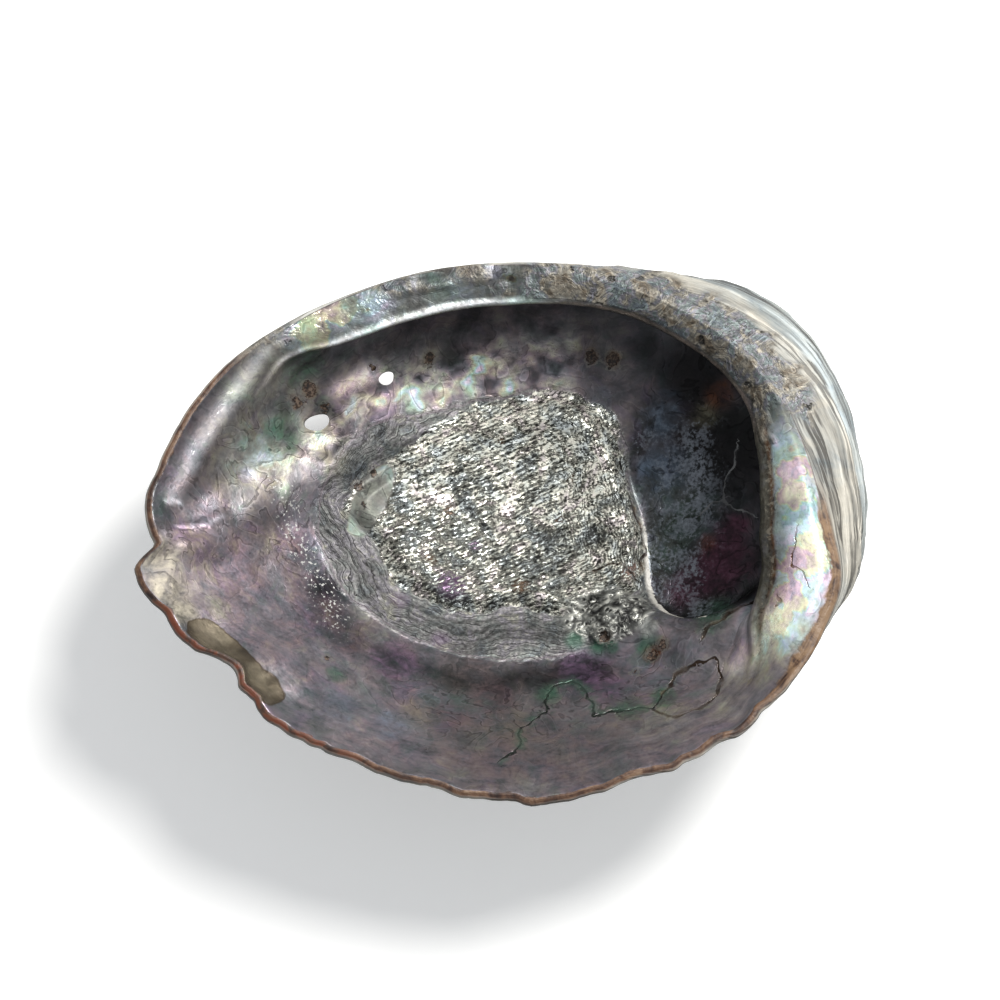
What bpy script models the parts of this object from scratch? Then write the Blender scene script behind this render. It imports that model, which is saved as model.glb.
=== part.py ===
"""Abalone shell, lying on its back with the mouth up.

The wall is one closed skin. A sphere gives the faces: its lower rings become the outer face, a
few rings round the lip, and the upper rings become the nacre inside. Every ring is placed by the
same few driving curves: the lip's outline and height, the rise of the outer face, the thickness
of the wall, and the shelf that rolls inwards along the hinge-side edge.

Plan angles are in degrees, counted anticlockwise from +X about the outline's centre.
Lengths are in metres. +X is the spire end, +Y the shelf side.
"""
import bmesh
import bpy
import numpy as np
from mathutils import Matrix

NAME = "abalone_shell"

# Mesh fineness
MERIDIANS = 92
OUTER_RINGS = 22
LIP_RINGS = 3
INNER_RINGS = (13, 2, 4, 7)
FLOOR_SAMPLES = 90
CURVE_STEPS = 8
# Share of the way to the lip where the floor ends: without the shelf, and under it
FLOOR_END = (0.69, 0.84)
EDGE_SHARES = (0.75, 0.79, 0.83, 0.87, 0.90, 0.93, 0.96, 0.992)

# Lip outline: plan angle, distance from the outline's centre
OUTLINE_CENTRE = (0.0, 0.0012)
LIP_RADIUS = (
    (0, 0.0900), (15, 0.0880), (30, 0.0876), (45, 0.0852), (60, 0.0826), (75, 0.0810),
    (90, 0.0796), (105, 0.0798), (120, 0.0813), (135, 0.0849), (150, 0.0904), (165, 0.0945),
    (180, 0.0965), (195, 0.0930), (210, 0.0860), (225, 0.0816), (240, 0.0778), (255, 0.0756),
    (270, 0.0760), (285, 0.0784), (300, 0.0810), (315, 0.0856), (330, 0.0900), (342, 0.0927),
    (350, 0.0935))
# Lobes and nicks of the lip: plan angle, half width in degrees, how far it stands out
LIP_LOBES = (
    (175.5, 4.0, 0.0013), (183.0, 2.0, -0.0015), (190.0, 5.5, 0.0052), (200.0, 4.0, 0.0022),
    (209.0, 5.0, -0.0029), (221.0, 4.0, 0.0008), (239.0, 4.0, -0.0012), (254.0, 4.0, -0.0006),
    (262.0, 3.0, 0.0008), (277.0, 6.0, 0.0013), (296.0, 4.0, -0.0012), (313.0, 3.0, -0.0005),
    (318.5, 3.0, 0.0010))
LOBE_DEPTH = 8.0
LIP_HEIGHT = (
    (0, 0.0540), (30, 0.0525), (60, 0.0505), (90, 0.0495), (120, 0.0505), (150, 0.0530),
    (180, 0.0550), (210, 0.0540), (240, 0.0520), (270, 0.0510), (300, 0.0530), (330, 0.0550))

# Outer face: the lowest point, and how the face rises from there to the lip
KEEL = (0.010, 0.012)
# Power of the rise, and the share of it that is a round arc instead, by plan angle
RISE_POWER = (
    (0, 4.0), (30, 3.9), (60, 3.5), (90, 3.0), (120, 2.6), (150, 2.35), (180, 2.15),
    (225, 1.9), (270, 1.8), (300, 2.05), (330, 3.0), (345, 3.6))
ROUND_SHARE = (
    (0, 0.45), (30, 0.43), (60, 0.38), (90, 0.34), (120, 0.22), (150, 0.08), (180, 0.0),
    (225, 0.0), (270, 0.0), (300, 0.05), (330, 0.22), (345, 0.36))
# Swelling of the body whorl beyond the lip, by plan angle
BULGE = (
    (0, 0.0145), (15, 0.0192), (30, 0.0225), (45, 0.0222), (60, 0.0118), (75, 0.0045),
    (90, 0.0010), (105, 0.0003), (120, 0.0), (180, 0.0), (240, 0.0), (330, 0.0), (340, 0.0012),
    (350, 0.0070))
BULGE_POWER = 2.2
WORN_FOOT = 0.0008

# Wall thickness, and the shares of the way to the lip over which it thins
WALL = 0.0036
LIP_WALL = 0.0026
THINNING = (0.8, 1.0)
LIP_ROUND = 0.6
LAYERED_RISE = 0.0018
SCAR_RISE = 0.0036
LEDGE_RISE = 0.0020
LEDGE_START = (0.010, 0.036)
LAYER_SOFT = 0.006
SCAR_SOFT = 0.005

# Muscle scar and the layered band round it: angle about the scar's centre, distance
SCAR_CENTRE = (0.0, 0.020)
SCAR_RADIUS = (
    (11, 0.0377), (30, 0.0388), (44, 0.0394), (56, 0.0385), (75, 0.0326), (102, 0.0288),
    (128, 0.0287), (153, 0.0328), (169, 0.0385), (182, 0.0448), (196, 0.0385), (217, 0.0378),
    (235, 0.0355), (254, 0.0333), (280, 0.0296), (297, 0.0361), (314, 0.0400), (328, 0.0462),
    (338, 0.0441), (353, 0.0400))
LAYERED_RADIUS = (
    (11, 0.0395), (44, 0.0410), (75, 0.0345), (102, 0.0315), (128, 0.0340), (161, 0.0463),
    (185, 0.0516), (210, 0.0512), (225, 0.0489), (244, 0.0464), (266, 0.0460), (290, 0.0474),
    (310, 0.0522), (330, 0.0520), (350, 0.0420))

# Spire chamber: angle about the chamber's centre, distance to its edge
CHAMBER_CENTRE = (0.062, 0.010)
CHAMBER_RADIUS = (
    (0, 0.030), (45, 0.045), (90, 0.060), (120, 0.045), (137, 0.0343), (152, 0.0252),
    (184, 0.0209), (207, 0.0230), (224, 0.0256), (238, 0.0265), (251, 0.0267), (265, 0.0271),
    (279, 0.0263), (294, 0.0219), (315, 0.0198), (336, 0.0250))
CHAMBER_WALL = 0.0030
# Raised floor between the scar and the shelf's end: its path in plan, and its reach
BRIDGE = ((0.036, -0.014), (0.058, -0.024), (0.075, -0.021))
BRIDGE_REACH = 0.017

# Shelf: how fully it is grown, its width from the lip and its drop to the inner edge
SHELF_GROWTH = (
    (-60, 0.0), (-36, 0.0), (-28, 0.3), (-20, 0.8), (-12, 1.0), (40, 1.0), (90, 1.0),
    (132, 1.0), (141, 0.6), (149, 0.1), (155, 0.0), (200, 0.0), (250, 0.0))
SHELF_WIDTH = (
    (-60, 0.0300), (-40, 0.0300), (-27, 0.0274), (-19, 0.0234), (-12, 0.0216), (-5, 0.0185),
    (1, 0.0148), (10, 0.0121), (20, 0.0102), (30, 0.0090), (50, 0.0087), (60, 0.0086),
    (70, 0.0098), (80, 0.0110), (92, 0.0118), (116, 0.0126), (128, 0.0129), (133, 0.0124),
    (138, 0.0090), (143, 0.0065), (150, 0.0055), (200, 0.0050))
SHELF_DROP = (
    (-60, 0.022), (-36, 0.0210), (-28, 0.0165), (-20, 0.0120), (-12, 0.0085), (-5, 0.0065),
    (15, 0.0045), (40, 0.0038), (80, 0.0025), (120, 0.0020), (140, 0.0016), (200, 0.0016))
SHELF_CROWN = (
    (-60, 0.0030), (-20, 0.0040), (0, 0.0034), (20, 0.0022), (50, 0.0014), (90, 0.0006),
    (130, 0.0003), (200, 0.0003))
# Section of the shelf: plate thickness, root and throat below the plate, rounding of the nose
SHELF_PLATE = 0.0036
PLATE_ROOT = 0.0046
PLATE_THROAT = 0.0014
NOSE_ROUND = 0.0011
TUCK_SHARE = 0.62
# Top of the shelf: shares of the width from the nose, then from the lip, and of the drop
TOP_SHARES = (0.10, 0.62, 0.30)
TOP_DROPS = (0.45, 0.12)
CROWN_SHARE = 0.6
LIP_LAND = (0.0016, 0.0002)

# Growth spiral: the spire's tip in plan, and how fast each older lip shrinks per radian
APEX = (0.064, 0.0)
SHRINK = 0.842
GROWTH_STEP = 0.105
GROWTH_LEDGE = 0.0011
BULGE_LEDGES = 4.0
BULGE_LEDGE = 0.0013
AGE_RANGE = 5.0
AGE_STEP = 0.02
LEDGE_BACK = 0.65
# Where the whorl's swelling and height on the wall give level folds instead
SWOLLEN = (0.002, 0.010)
SWOLLEN_SHARES = (0.6, 0.8)
# Knob at the spire's tip: radius and height, then turns, tightness and depth of its coil
SPIRE_KNOB = (0.011, 0.0026)
SPIRE_COIL = (9.0, 0.004, 0.3, 0.25)
SPIRE_BLANK = 0.030
# Shares of the way to the lip over which the outer relief starts and ends
RELIEF_START = (0.1, 0.3)
RELIEF_END = (0.93, 1.0)

# Pore row: where it meets the lip, measured about the spire's tip, and the pores along it
PORE_ROW_REACH = 0.160
PORE_ROW_ANGLE = 180.0
PORE_SPACING = 9.6
ROW_SINK = 0.6
OUTER_ROW = (70.0, 110.0, 181.0, 186.0)
INNER_ROW = (105.0, 135.0)
ROW_EDGE = (0.002, 0.008)
PORE_GROOVE = (0.0052, 0.0013)
PORE_RIDGE = (0.0075, 0.0022)
TUBERCLE = (0.0050, 0.0017)
INNER_RIDGE = (-0.0105, 0.0042, 0.0013)
# Open pores: place, length and width of the opening, and its turn in plan
OPEN_PORES = (((-0.0526, 0.0394, 0.0300), 0.0072, 0.0046, 22.0),
              ((-0.0330, 0.0534, 0.0283), 0.0048, 0.0034, 24.0))
PORE_LEAN = 18.0
PORE_CUT = 0.030
# Grown-over pores and blisters on the inner face: plan place, radius, height
INNER_SPOTS = (
    ((-0.0199, 0.0588), 0.0030, -0.0010), ((0.0255, 0.0617), 0.0032, -0.0010),
    ((0.0319, 0.0601), 0.0034, -0.0011), ((-0.0704, 0.0225), 0.0036, -0.0010),
    ((0.0292, -0.0188), 0.0042, 0.0014), ((0.0350, -0.0120), 0.0040, 0.0011),
    ((0.0225, -0.0130), 0.0036, 0.0010), ((0.0440, -0.0180), 0.0044, 0.0012))
# Roll inside the lip's hinge-side edge: plan angles, distance from the edge, width, height
MARGIN_ROLL = (140.0, 176.0, 0.0095, 0.0045, 0.0013)
ROLL_FADE = 8.0
LIP_FADE = 0.003
# Dent beside the lip: middle, direction of its length, half length, half width, depth
LIP_DENT = ((-0.0700, -0.0375), -38.0, 0.0190, 0.0045, 0.0014)


def keyed(angle, table):
    """Smooth value at each plan angle from a table of (angle, value) round a full turn."""
    keys = np.array([row[0] for row in table], float)
    values = np.array([row[1] for row in table], float)
    keys = np.concatenate((keys[-2:] - 360.0, keys, keys[:2] + 360.0))
    values = np.concatenate((values[-2:], values, values[:2]))
    slopes = np.gradient(values, keys)
    turn = np.mod(np.asarray(angle, float) - keys[2], 360.0) + keys[2]
    low = np.clip(np.searchsorted(keys, turn, side="right") - 1, 0, len(keys) - 2)
    step = keys[low + 1] - keys[low]
    part = (turn - keys[low]) / step
    rest = 1.0 - part
    return (rest * rest * (1.0 + 2.0 * part) * values[low]
            + part * part * (3.0 - 2.0 * part) * values[low + 1]
            + part * rest * step * (rest * slopes[low] - part * slopes[low + 1]))


def smooth_step(value, low, high):
    """0 below low, 1 above high, smooth between."""
    part = np.clip((value - low) / (high - low), 0.0, 1.0)
    return part * part * (3.0 - 2.0 * part)


def inside(x, y, centre, radius_table, soft):
    """1 inside an outline given by angle and radius, 0 outside, over a soft edge."""
    angle = np.degrees(np.arctan2(y - centre[1], x - centre[0]))
    gap = keyed(angle, radius_table) - np.hypot(x - centre[0], y - centre[1])
    return smooth_step(gap, -0.5 * soft, 0.5 * soft)


def path_gap(x, y, path):
    """Distance in plan from a path of straight runs."""
    gap = np.full(np.shape(x), np.inf)
    for start, end in zip(np.array(path[:-1]), np.array(path[1:])):
        run = end - start
        part = ((x - start[0]) * run[0] + (y - start[1]) * run[1]) / run.dot(run)
        part = np.clip(part, 0.0, 1.0)
        gap = np.minimum(gap, np.hypot(x - start[0] - part * run[0], y - start[1] - part * run[1]))
    return gap


def lip_point(angle):
    """Plan position and height of the lip's outer edge."""
    radius = keyed(angle, LIP_RADIUS)
    turn = np.radians(angle)
    x = OUTLINE_CENTRE[0] + radius * np.cos(turn)
    y = OUTLINE_CENTRE[1] + radius * np.sin(turn)
    return x, y, keyed(angle, LIP_HEIGHT) + WORN_FOOT


def lip_lobes(angle):
    """How far the lip stands out of its smooth outline."""
    reach = np.zeros(len(angle))
    for centre, half_width, height in LIP_LOBES:
        reach += height * np.exp(-((angle - centre) / half_width) ** 2)
    return reach


def resample(x, y, shares):
    """Points at the given shares of each polyline's length."""
    reach = np.hypot(np.diff(x, axis=1), np.diff(y, axis=1)).cumsum(axis=1)
    reach = np.concatenate((np.zeros((len(x), 1)), reach), axis=1)
    reach = reach / reach[:, -1:]
    out_x, out_y = [], []
    for row in range(len(x)):
        out_x.append(np.interp(shares, reach[row], x[row]))
        out_y.append(np.interp(shares, reach[row], y[row]))
    return np.array(out_x), np.array(out_y)


def outer_profile(angle, steps=160):
    """Outer face along each meridian: distance from the keel and height, evenly spaced."""
    x, y, height = lip_point(angle)
    span = np.hypot(x - KEEL[0], y - KEEL[1])[:, None]
    share = np.sin(np.linspace(0.0, 0.5 * np.pi, steps))[None, :]
    power = keyed(angle, RISE_POWER)[:, None]
    round_share = keyed(angle, ROUND_SHARE)[:, None]
    rise = (1.0 - round_share) * share ** power
    rise = rise + round_share * (1.0 - np.sqrt(1.0 - share * share))
    swell = 4.0 * rise ** BULGE_POWER * (1.0 - rise ** BULGE_POWER)
    along = span * share + keyed(angle, BULGE)[:, None] * swell
    along = along + lip_lobes(angle)[:, None] * share ** LOBE_DEPTH
    return resample(along, height[:, None] * rise, np.linspace(0.0, 1.0, steps))


def wall_thickness(x, y, share):
    """Wall thickness over the plan; share is 0 at the keel and 1 at the lip."""
    chamber = inside(x, y, CHAMBER_CENTRE, CHAMBER_RADIUS, LAYER_SOFT)
    layered = inside(x, y, SCAR_CENTRE, LAYERED_RADIUS, LAYER_SOFT)
    scar = inside(x, y, SCAR_CENTRE, SCAR_RADIUS, SCAR_SOFT)
    bridge = 1.0 - smooth_step(path_gap(x, y, BRIDGE), 0.1 * BRIDGE_REACH, BRIDGE_REACH)
    ledge = smooth_step(x, *LEDGE_START) * scar
    rise = LAYERED_RISE * layered + SCAR_RISE * scar + LEDGE_RISE * ledge
    rise = np.maximum(rise, (LAYERED_RISE + SCAR_RISE + LEDGE_RISE) * bridge)
    wall = WALL + (LIP_WALL - WALL) * smooth_step(share, *THINNING)
    return wall + (CHAMBER_WALL - WALL) * chamber + rise * (1.0 - chamber)


def inner_profile(angle):
    """Inner face along each meridian, from the keel's top out to the lip."""
    x, y, height = lip_point(angle)
    span = np.hypot(x - KEEL[0], y - KEEL[1])
    toward = np.stack(((x - KEEL[0]) / span, (y - KEEL[1]) / span))
    along, up = outer_profile(angle)
    share = np.linspace(0.0, 1.0, along.shape[1])[None, :]
    run = np.gradient(along, axis=1)
    climb = np.gradient(up, axis=1)
    length = np.hypot(run, climb)
    plan_x = KEEL[0] + along * toward[0][:, None]
    plan_y = KEEL[1] + along * toward[1][:, None]
    thick = wall_thickness(plan_x, plan_y, share)
    face_along = along - thick * climb / length
    face_up = np.maximum(up, WORN_FOOT) + thick * run / length
    face_along = np.maximum(face_along, 0.0)

    grown = keyed(angle, SHELF_GROWTH)[:, None]
    grid = np.linspace(0.0, 1.0, along.shape[1])
    floor_end = FLOOR_END[0] + grown * (FLOOR_END[1] - FLOOR_END[0])
    floor = floor_end * np.linspace(0.0, 1.0, FLOOR_SAMPLES)[None, :]
    picks = np.concatenate((floor, np.tile(EDGE_SHARES, (len(angle), 1))), axis=1)
    point_along = np.array([np.interp(p, grid, row) for p, row in zip(picks, face_along)])
    point_up = np.array([np.interp(p, grid, row) for p, row in zip(picks, face_up)])

    width = keyed(angle, SHELF_WIDTH)
    drop = keyed(angle, SHELF_DROP)
    crown = keyed(angle, SHELF_CROWN)
    under = height - drop - SHELF_PLATE - PLATE_ROOT
    wall_along = np.array([np.interp(u, h, a) for u, h, a in zip(under, face_up, face_along)])
    nose = span - width
    tuck = np.maximum(wall_along - nose, 0.0)
    top = height - drop
    shelf_along = np.stack((
        nose + tuck, nose + TUCK_SHARE * tuck, nose + NOSE_ROUND, nose,
        nose + TOP_SHARES[0] * width, span - TOP_SHARES[1] * width,
        span - TOP_SHARES[2] * width, span - LIP_LAND[0]), axis=1)
    shelf_up = np.stack((
        under, top - SHELF_PLATE - PLATE_THROAT, top - SHELF_PLATE, top - 0.5 * SHELF_PLATE,
        top, height - TOP_DROPS[0] * drop + CROWN_SHARE * crown,
        height - TOP_DROPS[1] * drop + crown, height + LIP_LAND[1]), axis=1)
    last = slice(FLOOR_SAMPLES, None)
    point_along[:, last] += grown * (shelf_along - point_along[:, last])
    point_up[:, last] += grown * (shelf_up - point_up[:, last])
    return point_along, point_up


def curve_through(points, finer):
    """Catmull-Rom samples through each row of points, keeping the points themselves."""
    before = np.concatenate((2.0 * points[:, :1] - points[:, 1:2], points[:, :-1]), axis=1)
    after = np.concatenate((points[:, 1:], 2.0 * points[:, -1:] - points[:, -2:-1]), axis=1)
    slope = 0.5 * (after - before)
    part = np.arange(finer) / finer
    rest = 1.0 - part
    low, high = points[:, :-1, None], points[:, 1:, None]
    fine = (rest * rest * (1.0 + 2.0 * part) * low + part * part * (3.0 - 2.0 * part) * high
            + part * rest * (rest * slope[:, :-1, None] - part * slope[:, 1:, None]))
    return np.concatenate((fine.reshape(len(points), -1), points[:, -1:]), axis=1)


def skin_rings(angle):
    """Distance from the keel and height of every ring, from the keel's underside to its top."""
    outer_along, outer_up = outer_profile(angle)
    shares = np.linspace(0.0, 1.0, OUTER_RINGS + 1)
    outer_along, outer_up = resample(outer_along, outer_up, shares)

    fine = CURVE_STEPS
    point_along, point_up = inner_profile(angle)
    edge_from = FLOOR_SAMPLES - 3
    edge_along = curve_through(point_along[:, edge_from:], fine)[:, 2 * fine:]
    edge_up = curve_through(point_up[:, edge_from:], fine)[:, 2 * fine:]
    point_along = np.concatenate((point_along[:, :FLOOR_SAMPLES - 1], edge_along), axis=1)
    point_up = np.concatenate((point_up[:, :FLOOR_SAMPLES - 1], edge_up), axis=1)
    start = FLOOR_SAMPLES - 1
    marks = (0, start, start + fine, start + 4 * fine, start + 8 * fine)
    inner_along, inner_up = [], []
    for low, high, count in zip(marks[:-1], marks[1:], INNER_RINGS):
        part = np.linspace(0.0, 1.0, count + 1)
        piece = resample(point_along[:, low:high + 1], point_up[:, low:high + 1], part)
        skip = 0 if low == 0 else 1
        inner_along.append(piece[0][:, skip:])
        inner_up.append(piece[1][:, skip:])
    inner_along = np.concatenate(inner_along, axis=1)[:, ::-1]
    inner_up = np.concatenate(inner_up, axis=1)[:, ::-1]

    outer_end = np.stack((outer_along[:, -1], outer_up[:, -1]), axis=1)
    inner_end = np.stack((inner_along[:, 0], inner_up[:, 0]), axis=1)
    middle = 0.5 * (outer_end + inner_end)
    across = inner_end - outer_end
    push = LIP_ROUND * np.stack((across[:, 1], -across[:, 0]), axis=1)
    lip_along, lip_up = [], []
    for ring in range(1, LIP_RINGS):
        turn = np.pi * ring / LIP_RINGS
        point = middle - 0.5 * np.cos(turn) * across + 0.5 * np.sin(turn) * push
        lip_along.append(point[:, 0])
        lip_up.append(point[:, 1])
    along = np.concatenate((outer_along, np.stack(lip_along, axis=1), inner_along), axis=1)
    up = np.concatenate((outer_up, np.stack(lip_up, axis=1), inner_up), axis=1)
    return along, up


def skin_points():
    """Grid of points, meridian by ring, in the frame of the lip's outline."""
    angle = np.arange(MERIDIANS) * 360.0 / MERIDIANS
    x, y, _ = lip_point(angle)
    span = np.hypot(x - KEEL[0], y - KEEL[1])
    along, up = skin_rings(angle)
    points = np.empty(along.shape + (3,))
    points[..., 0] = KEEL[0] + along * ((x - KEEL[0]) / span)[:, None]
    points[..., 1] = KEEL[1] + along * ((y - KEEL[1]) / span)[:, None]
    points[..., 2] = np.maximum(up - WORN_FOOT, 0.0)
    return points


def lip_about_apex():
    """Lip outline as plan angle and distance about the spire's tip, sorted by angle."""
    angle = np.linspace(0.0, 360.0, 721)[:-1]
    x, y, _ = lip_point(angle)
    turn = np.degrees(np.arctan2(y - APEX[1], x - APEX[0])) % 360.0
    order = np.argsort(turn)
    return turn[order], np.hypot(x - APEX[0], y - APEX[1])[order]


def growth_age(x, y):
    """Turn, in radians, since the lip stood at each plan place."""
    lip_turn, lip_reach = lip_about_apex()
    turn = np.degrees(np.arctan2(y - APEX[1], x - APEX[0]))
    reach = np.hypot(x - APEX[0], y - APEX[1])
    age = np.zeros(x.shape)
    outside = np.ones(x.shape, bool)
    for back in np.arange(0.0, AGE_RANGE, AGE_STEP):
        edge = np.interp((turn + np.degrees(back)) % 360.0, lip_turn, lip_reach, period=360.0)
        outside &= reach < np.exp(-SHRINK * back) * edge
        age[outside] = back
    return age


def pore_row_gap(x, y):
    """Distance out from the pore row, and the turn along it, at each plan place."""
    turn = np.degrees(np.arctan2(y - APEX[1], x - APEX[0])) % 360.0
    reach = np.maximum(np.hypot(x - APEX[0], y - APEX[1]), 1e-4)
    row = PORE_ROW_REACH * np.exp(-SHRINK * np.radians(PORE_ROW_ANGLE - turn))
    gap = np.maximum(reach, SPIRE_BLANK) * np.log(reach / row) * np.cos(np.arctan(SHRINK))
    return gap, turn


def bump(gap, half_width):
    """A rounded hump across a line or a spot."""
    return np.exp(-(gap / half_width) ** 2)


def step_ledge(phase):
    """Overlapping layers: each swells towards its own edge and drops to the next."""
    part = phase % 1.0
    return smooth_step(part, 0.0, LEDGE_BACK) * (1.0 - smooth_step(part, LEDGE_BACK, 1.0)) - 0.5


def outer_relief(x, y, up, angle, share):
    """Growth ledges, the ridge over the pores, and the spire's knob."""
    ledges = GROWTH_LEDGE * step_ledge(growth_age(x, y) / GROWTH_STEP)
    swollen = smooth_step(keyed(angle, BULGE), *SWOLLEN) * smooth_step(share, *SWOLLEN_SHARES)
    level = up / keyed(angle, LIP_HEIGHT)
    folds = BULGE_LEDGE * step_ledge(BULGE_LEDGES * level)
    relief = ledges * (1.0 - swollen) + folds * swollen
    gap, turn = pore_row_gap(x, y)
    along_row = smooth_step(turn, *OUTER_ROW[:2]) * (1.0 - smooth_step(turn, *OUTER_ROW[2:]))
    gap = gap - ROW_SINK * WALL
    relief = relief + PORE_RIDGE[1] * bump(gap, PORE_RIDGE[0]) * along_row
    nearest = (turn - PORE_ROW_ANGLE + 0.5 * PORE_SPACING) % PORE_SPACING - 0.5 * PORE_SPACING
    reach = PORE_ROW_REACH * np.exp(-SHRINK * np.radians(PORE_ROW_ANGLE - turn))
    along = np.radians(nearest) * reach * np.hypot(1.0, SHRINK)
    relief = relief + TUBERCLE[1] * bump(np.hypot(gap, along), TUBERCLE[0]) * along_row
    knob = np.hypot(x - APEX[0], y - APEX[1])
    turns, tightness, start, depth = SPIRE_COIL
    coil = np.arctan2(y - APEX[1], x - APEX[0]) - turns * np.log(knob / tightness + start)
    relief = relief + SPIRE_KNOB[1] * bump(knob, SPIRE_KNOB[0]) * (1.0 + depth * np.cos(coil))
    return relief * (1.0 - smooth_step(share, *RELIEF_END)) * smooth_step(share, *RELIEF_START)


def inner_relief(x, y, angle, edge_gap):
    """Groove and ridge along the pores, spots, margin roll and dent of the nacre face."""
    gap, turn = pore_row_gap(x, y)
    along_row = smooth_step(turn, *INNER_ROW) * smooth_step(edge_gap, *ROW_EDGE)
    relief = -PORE_GROOVE[1] * bump(gap, PORE_GROOVE[0]) * along_row
    ridge_place, ridge_width, ridge_height = INNER_RIDGE
    relief = relief + ridge_height * bump(gap - ridge_place, ridge_width) * along_row
    for place, radius, height in INNER_SPOTS:
        relief = relief + height * bump(np.hypot(x - place[0], y - place[1]), radius)
    start, end, place, width, height = MARGIN_ROLL
    rolled = smooth_step(angle, start, start + ROLL_FADE)
    rolled = rolled * (1.0 - smooth_step(angle, end - ROLL_FADE, end))
    relief = relief + height * bump(edge_gap - place, width) * rolled
    middle, turn, half_length, half_width, depth = LIP_DENT
    turn = np.radians(turn)
    along = (x - middle[0]) * np.cos(turn) + (y - middle[1]) * np.sin(turn)
    across = (y - middle[1]) * np.cos(turn) - (x - middle[0]) * np.sin(turn)
    dent = np.exp(-(along / half_length) ** 4 - (across / half_width) ** 2)
    return relief - depth * dent


def skin_relief(points):
    """How far each point of the grid stands out from the smooth skin."""
    angle = np.repeat(np.arange(MERIDIANS) * 360.0 / MERIDIANS, points.shape[1])
    angle = angle.reshape(points.shape[:2])
    x, y, up = np.moveaxis(points, 2, 0)
    rings = np.arange(points.shape[1])
    share = np.tile(np.minimum(rings / OUTER_RINGS, 1.0), (MERIDIANS, 1))
    outer = outer_relief(x, y, up, angle, share)
    steps = np.linalg.norm(np.diff(points, axis=1), axis=2).cumsum(axis=1)
    length = np.concatenate((np.zeros((MERIDIANS, 1)), steps), axis=1)
    first_inner = OUTER_RINGS + LIP_RINGS
    edge_gap = np.maximum(length - length[:, first_inner:first_inner + 1], 0.0)
    inner = inner_relief(x, y, angle, edge_gap)
    inner = inner * smooth_step(edge_gap, 0.0, LIP_FADE)
    return np.where(rings[None, :] <= OUTER_RINGS, outer, inner)


def shell_material():
    """Silver-grey nacre."""
    material = bpy.data.materials.new("nacre")
    material.use_nodes = True
    shader = material.node_tree.nodes["Principled BSDF"]
    shader.inputs["Base Color"].default_value = (0.36, 0.35, 0.37, 1.0)
    shader.inputs["Roughness"].default_value = 0.32
    shader.inputs["Metallic"].default_value = 0.45
    return material


def build_skin(name):
    """A sphere whose rings are carried onto the skin and then given its relief."""
    points = skin_points()
    relief = skin_relief(points)
    rings = points.shape[1] - 1
    mesh = bmesh.new()
    bmesh.ops.create_uvsphere(mesh, u_segments=MERIDIANS, v_segments=rings, radius=1.0)
    places = []
    for vertex in mesh.verts:
        x, y, z = vertex.co
        ring = int(round((0.5 + np.arcsin(np.clip(z, -1.0, 1.0)) / np.pi) * rings))
        meridian = int(round(np.arctan2(y, x) / (2.0 * np.pi) * MERIDIANS)) % MERIDIANS
        vertex.co = points[meridian, ring]
        places.append((meridian, ring))
    mesh.normal_update()
    moves = [vertex.normal * relief[place] for vertex, place in zip(mesh.verts, places)]
    for vertex, move in zip(mesh.verts, moves):
        vertex.co += move
        vertex.co.z = max(vertex.co.z, 0.0)
    data = bpy.data.meshes.new(name)
    mesh.to_mesh(data)
    mesh.free()
    return data


def build_pore_cutters(collection):
    """Oval rods that open the two youngest grown pores through the wall."""
    cutters = []
    for number, (place, length, width, turn) in enumerate(OPEN_PORES):
        mesh = bmesh.new()
        bmesh.ops.create_cone(mesh, cap_ends=True, segments=14, radius1=0.5, radius2=0.5,
                              depth=PORE_CUT)
        data = bpy.data.meshes.new(f"pore_cutter_{number + 1}")
        mesh.to_mesh(data)
        mesh.free()
        spin = Matrix.Rotation(np.radians(turn), 4, "Z")
        lean = Matrix.Rotation(np.radians(PORE_LEAN), 4, "X")
        oval = Matrix.Diagonal((length, width, 1.0, 1.0))
        data.transform(Matrix.Translation(place) @ lean @ spin @ oval)
        cutter = bpy.data.objects.new(data.name, data)
        cutter.hide_render = True
        cutter.display_type = "WIRE"
        collection.objects.link(cutter)
        cutters.append(cutter)
    return cutters


def recentre(meshes):
    """Bring the middle of the first mesh's box over the origin, moving all of them alike."""
    corners = np.array([vertex.co for vertex in meshes[0].vertices])
    middle = 0.5 * (corners.min(axis=0) + corners.max(axis=0))
    for data in meshes:
        data.transform(Matrix.Translation((-middle[0], -middle[1], 0.0)))


def main():
    for leftover in list(bpy.data.objects):
        bpy.data.objects.remove(leftover, do_unlink=True)
    parts = bpy.data.collections.new(NAME)
    tools = bpy.data.collections.new("cutters")
    bpy.context.scene.collection.children.link(parts)
    bpy.context.scene.collection.children.link(tools)
    data = build_skin("shell")
    data.shade_smooth()
    data.materials.append(shell_material())
    shell = bpy.data.objects.new("shell", data)
    parts.objects.link(shell)
    cutters = build_pore_cutters(tools)
    recentre([data] + [cutter.data for cutter in cutters])
    for cutter in cutters:
        opening = shell.modifiers.new(cutter.name, "BOOLEAN")
        opening.operation = "DIFFERENCE"
        opening.solver = "EXACT"
        opening.object = cutter


main()
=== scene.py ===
"""Looks of the abalone shell: fine skin, nacre, scar, weathered outside, floor, light and camera.

Lengths are in metres. Shapes are worked out in the frame of the lip's outline, whose centre
lies PLAN_SHIFT from the part's origin. Plan angles are in degrees, anticlockwise from +X.
"""
from collections import namedtuple

import bpy
import numpy as np
from mathutils import Matrix, Vector, kdtree


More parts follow.
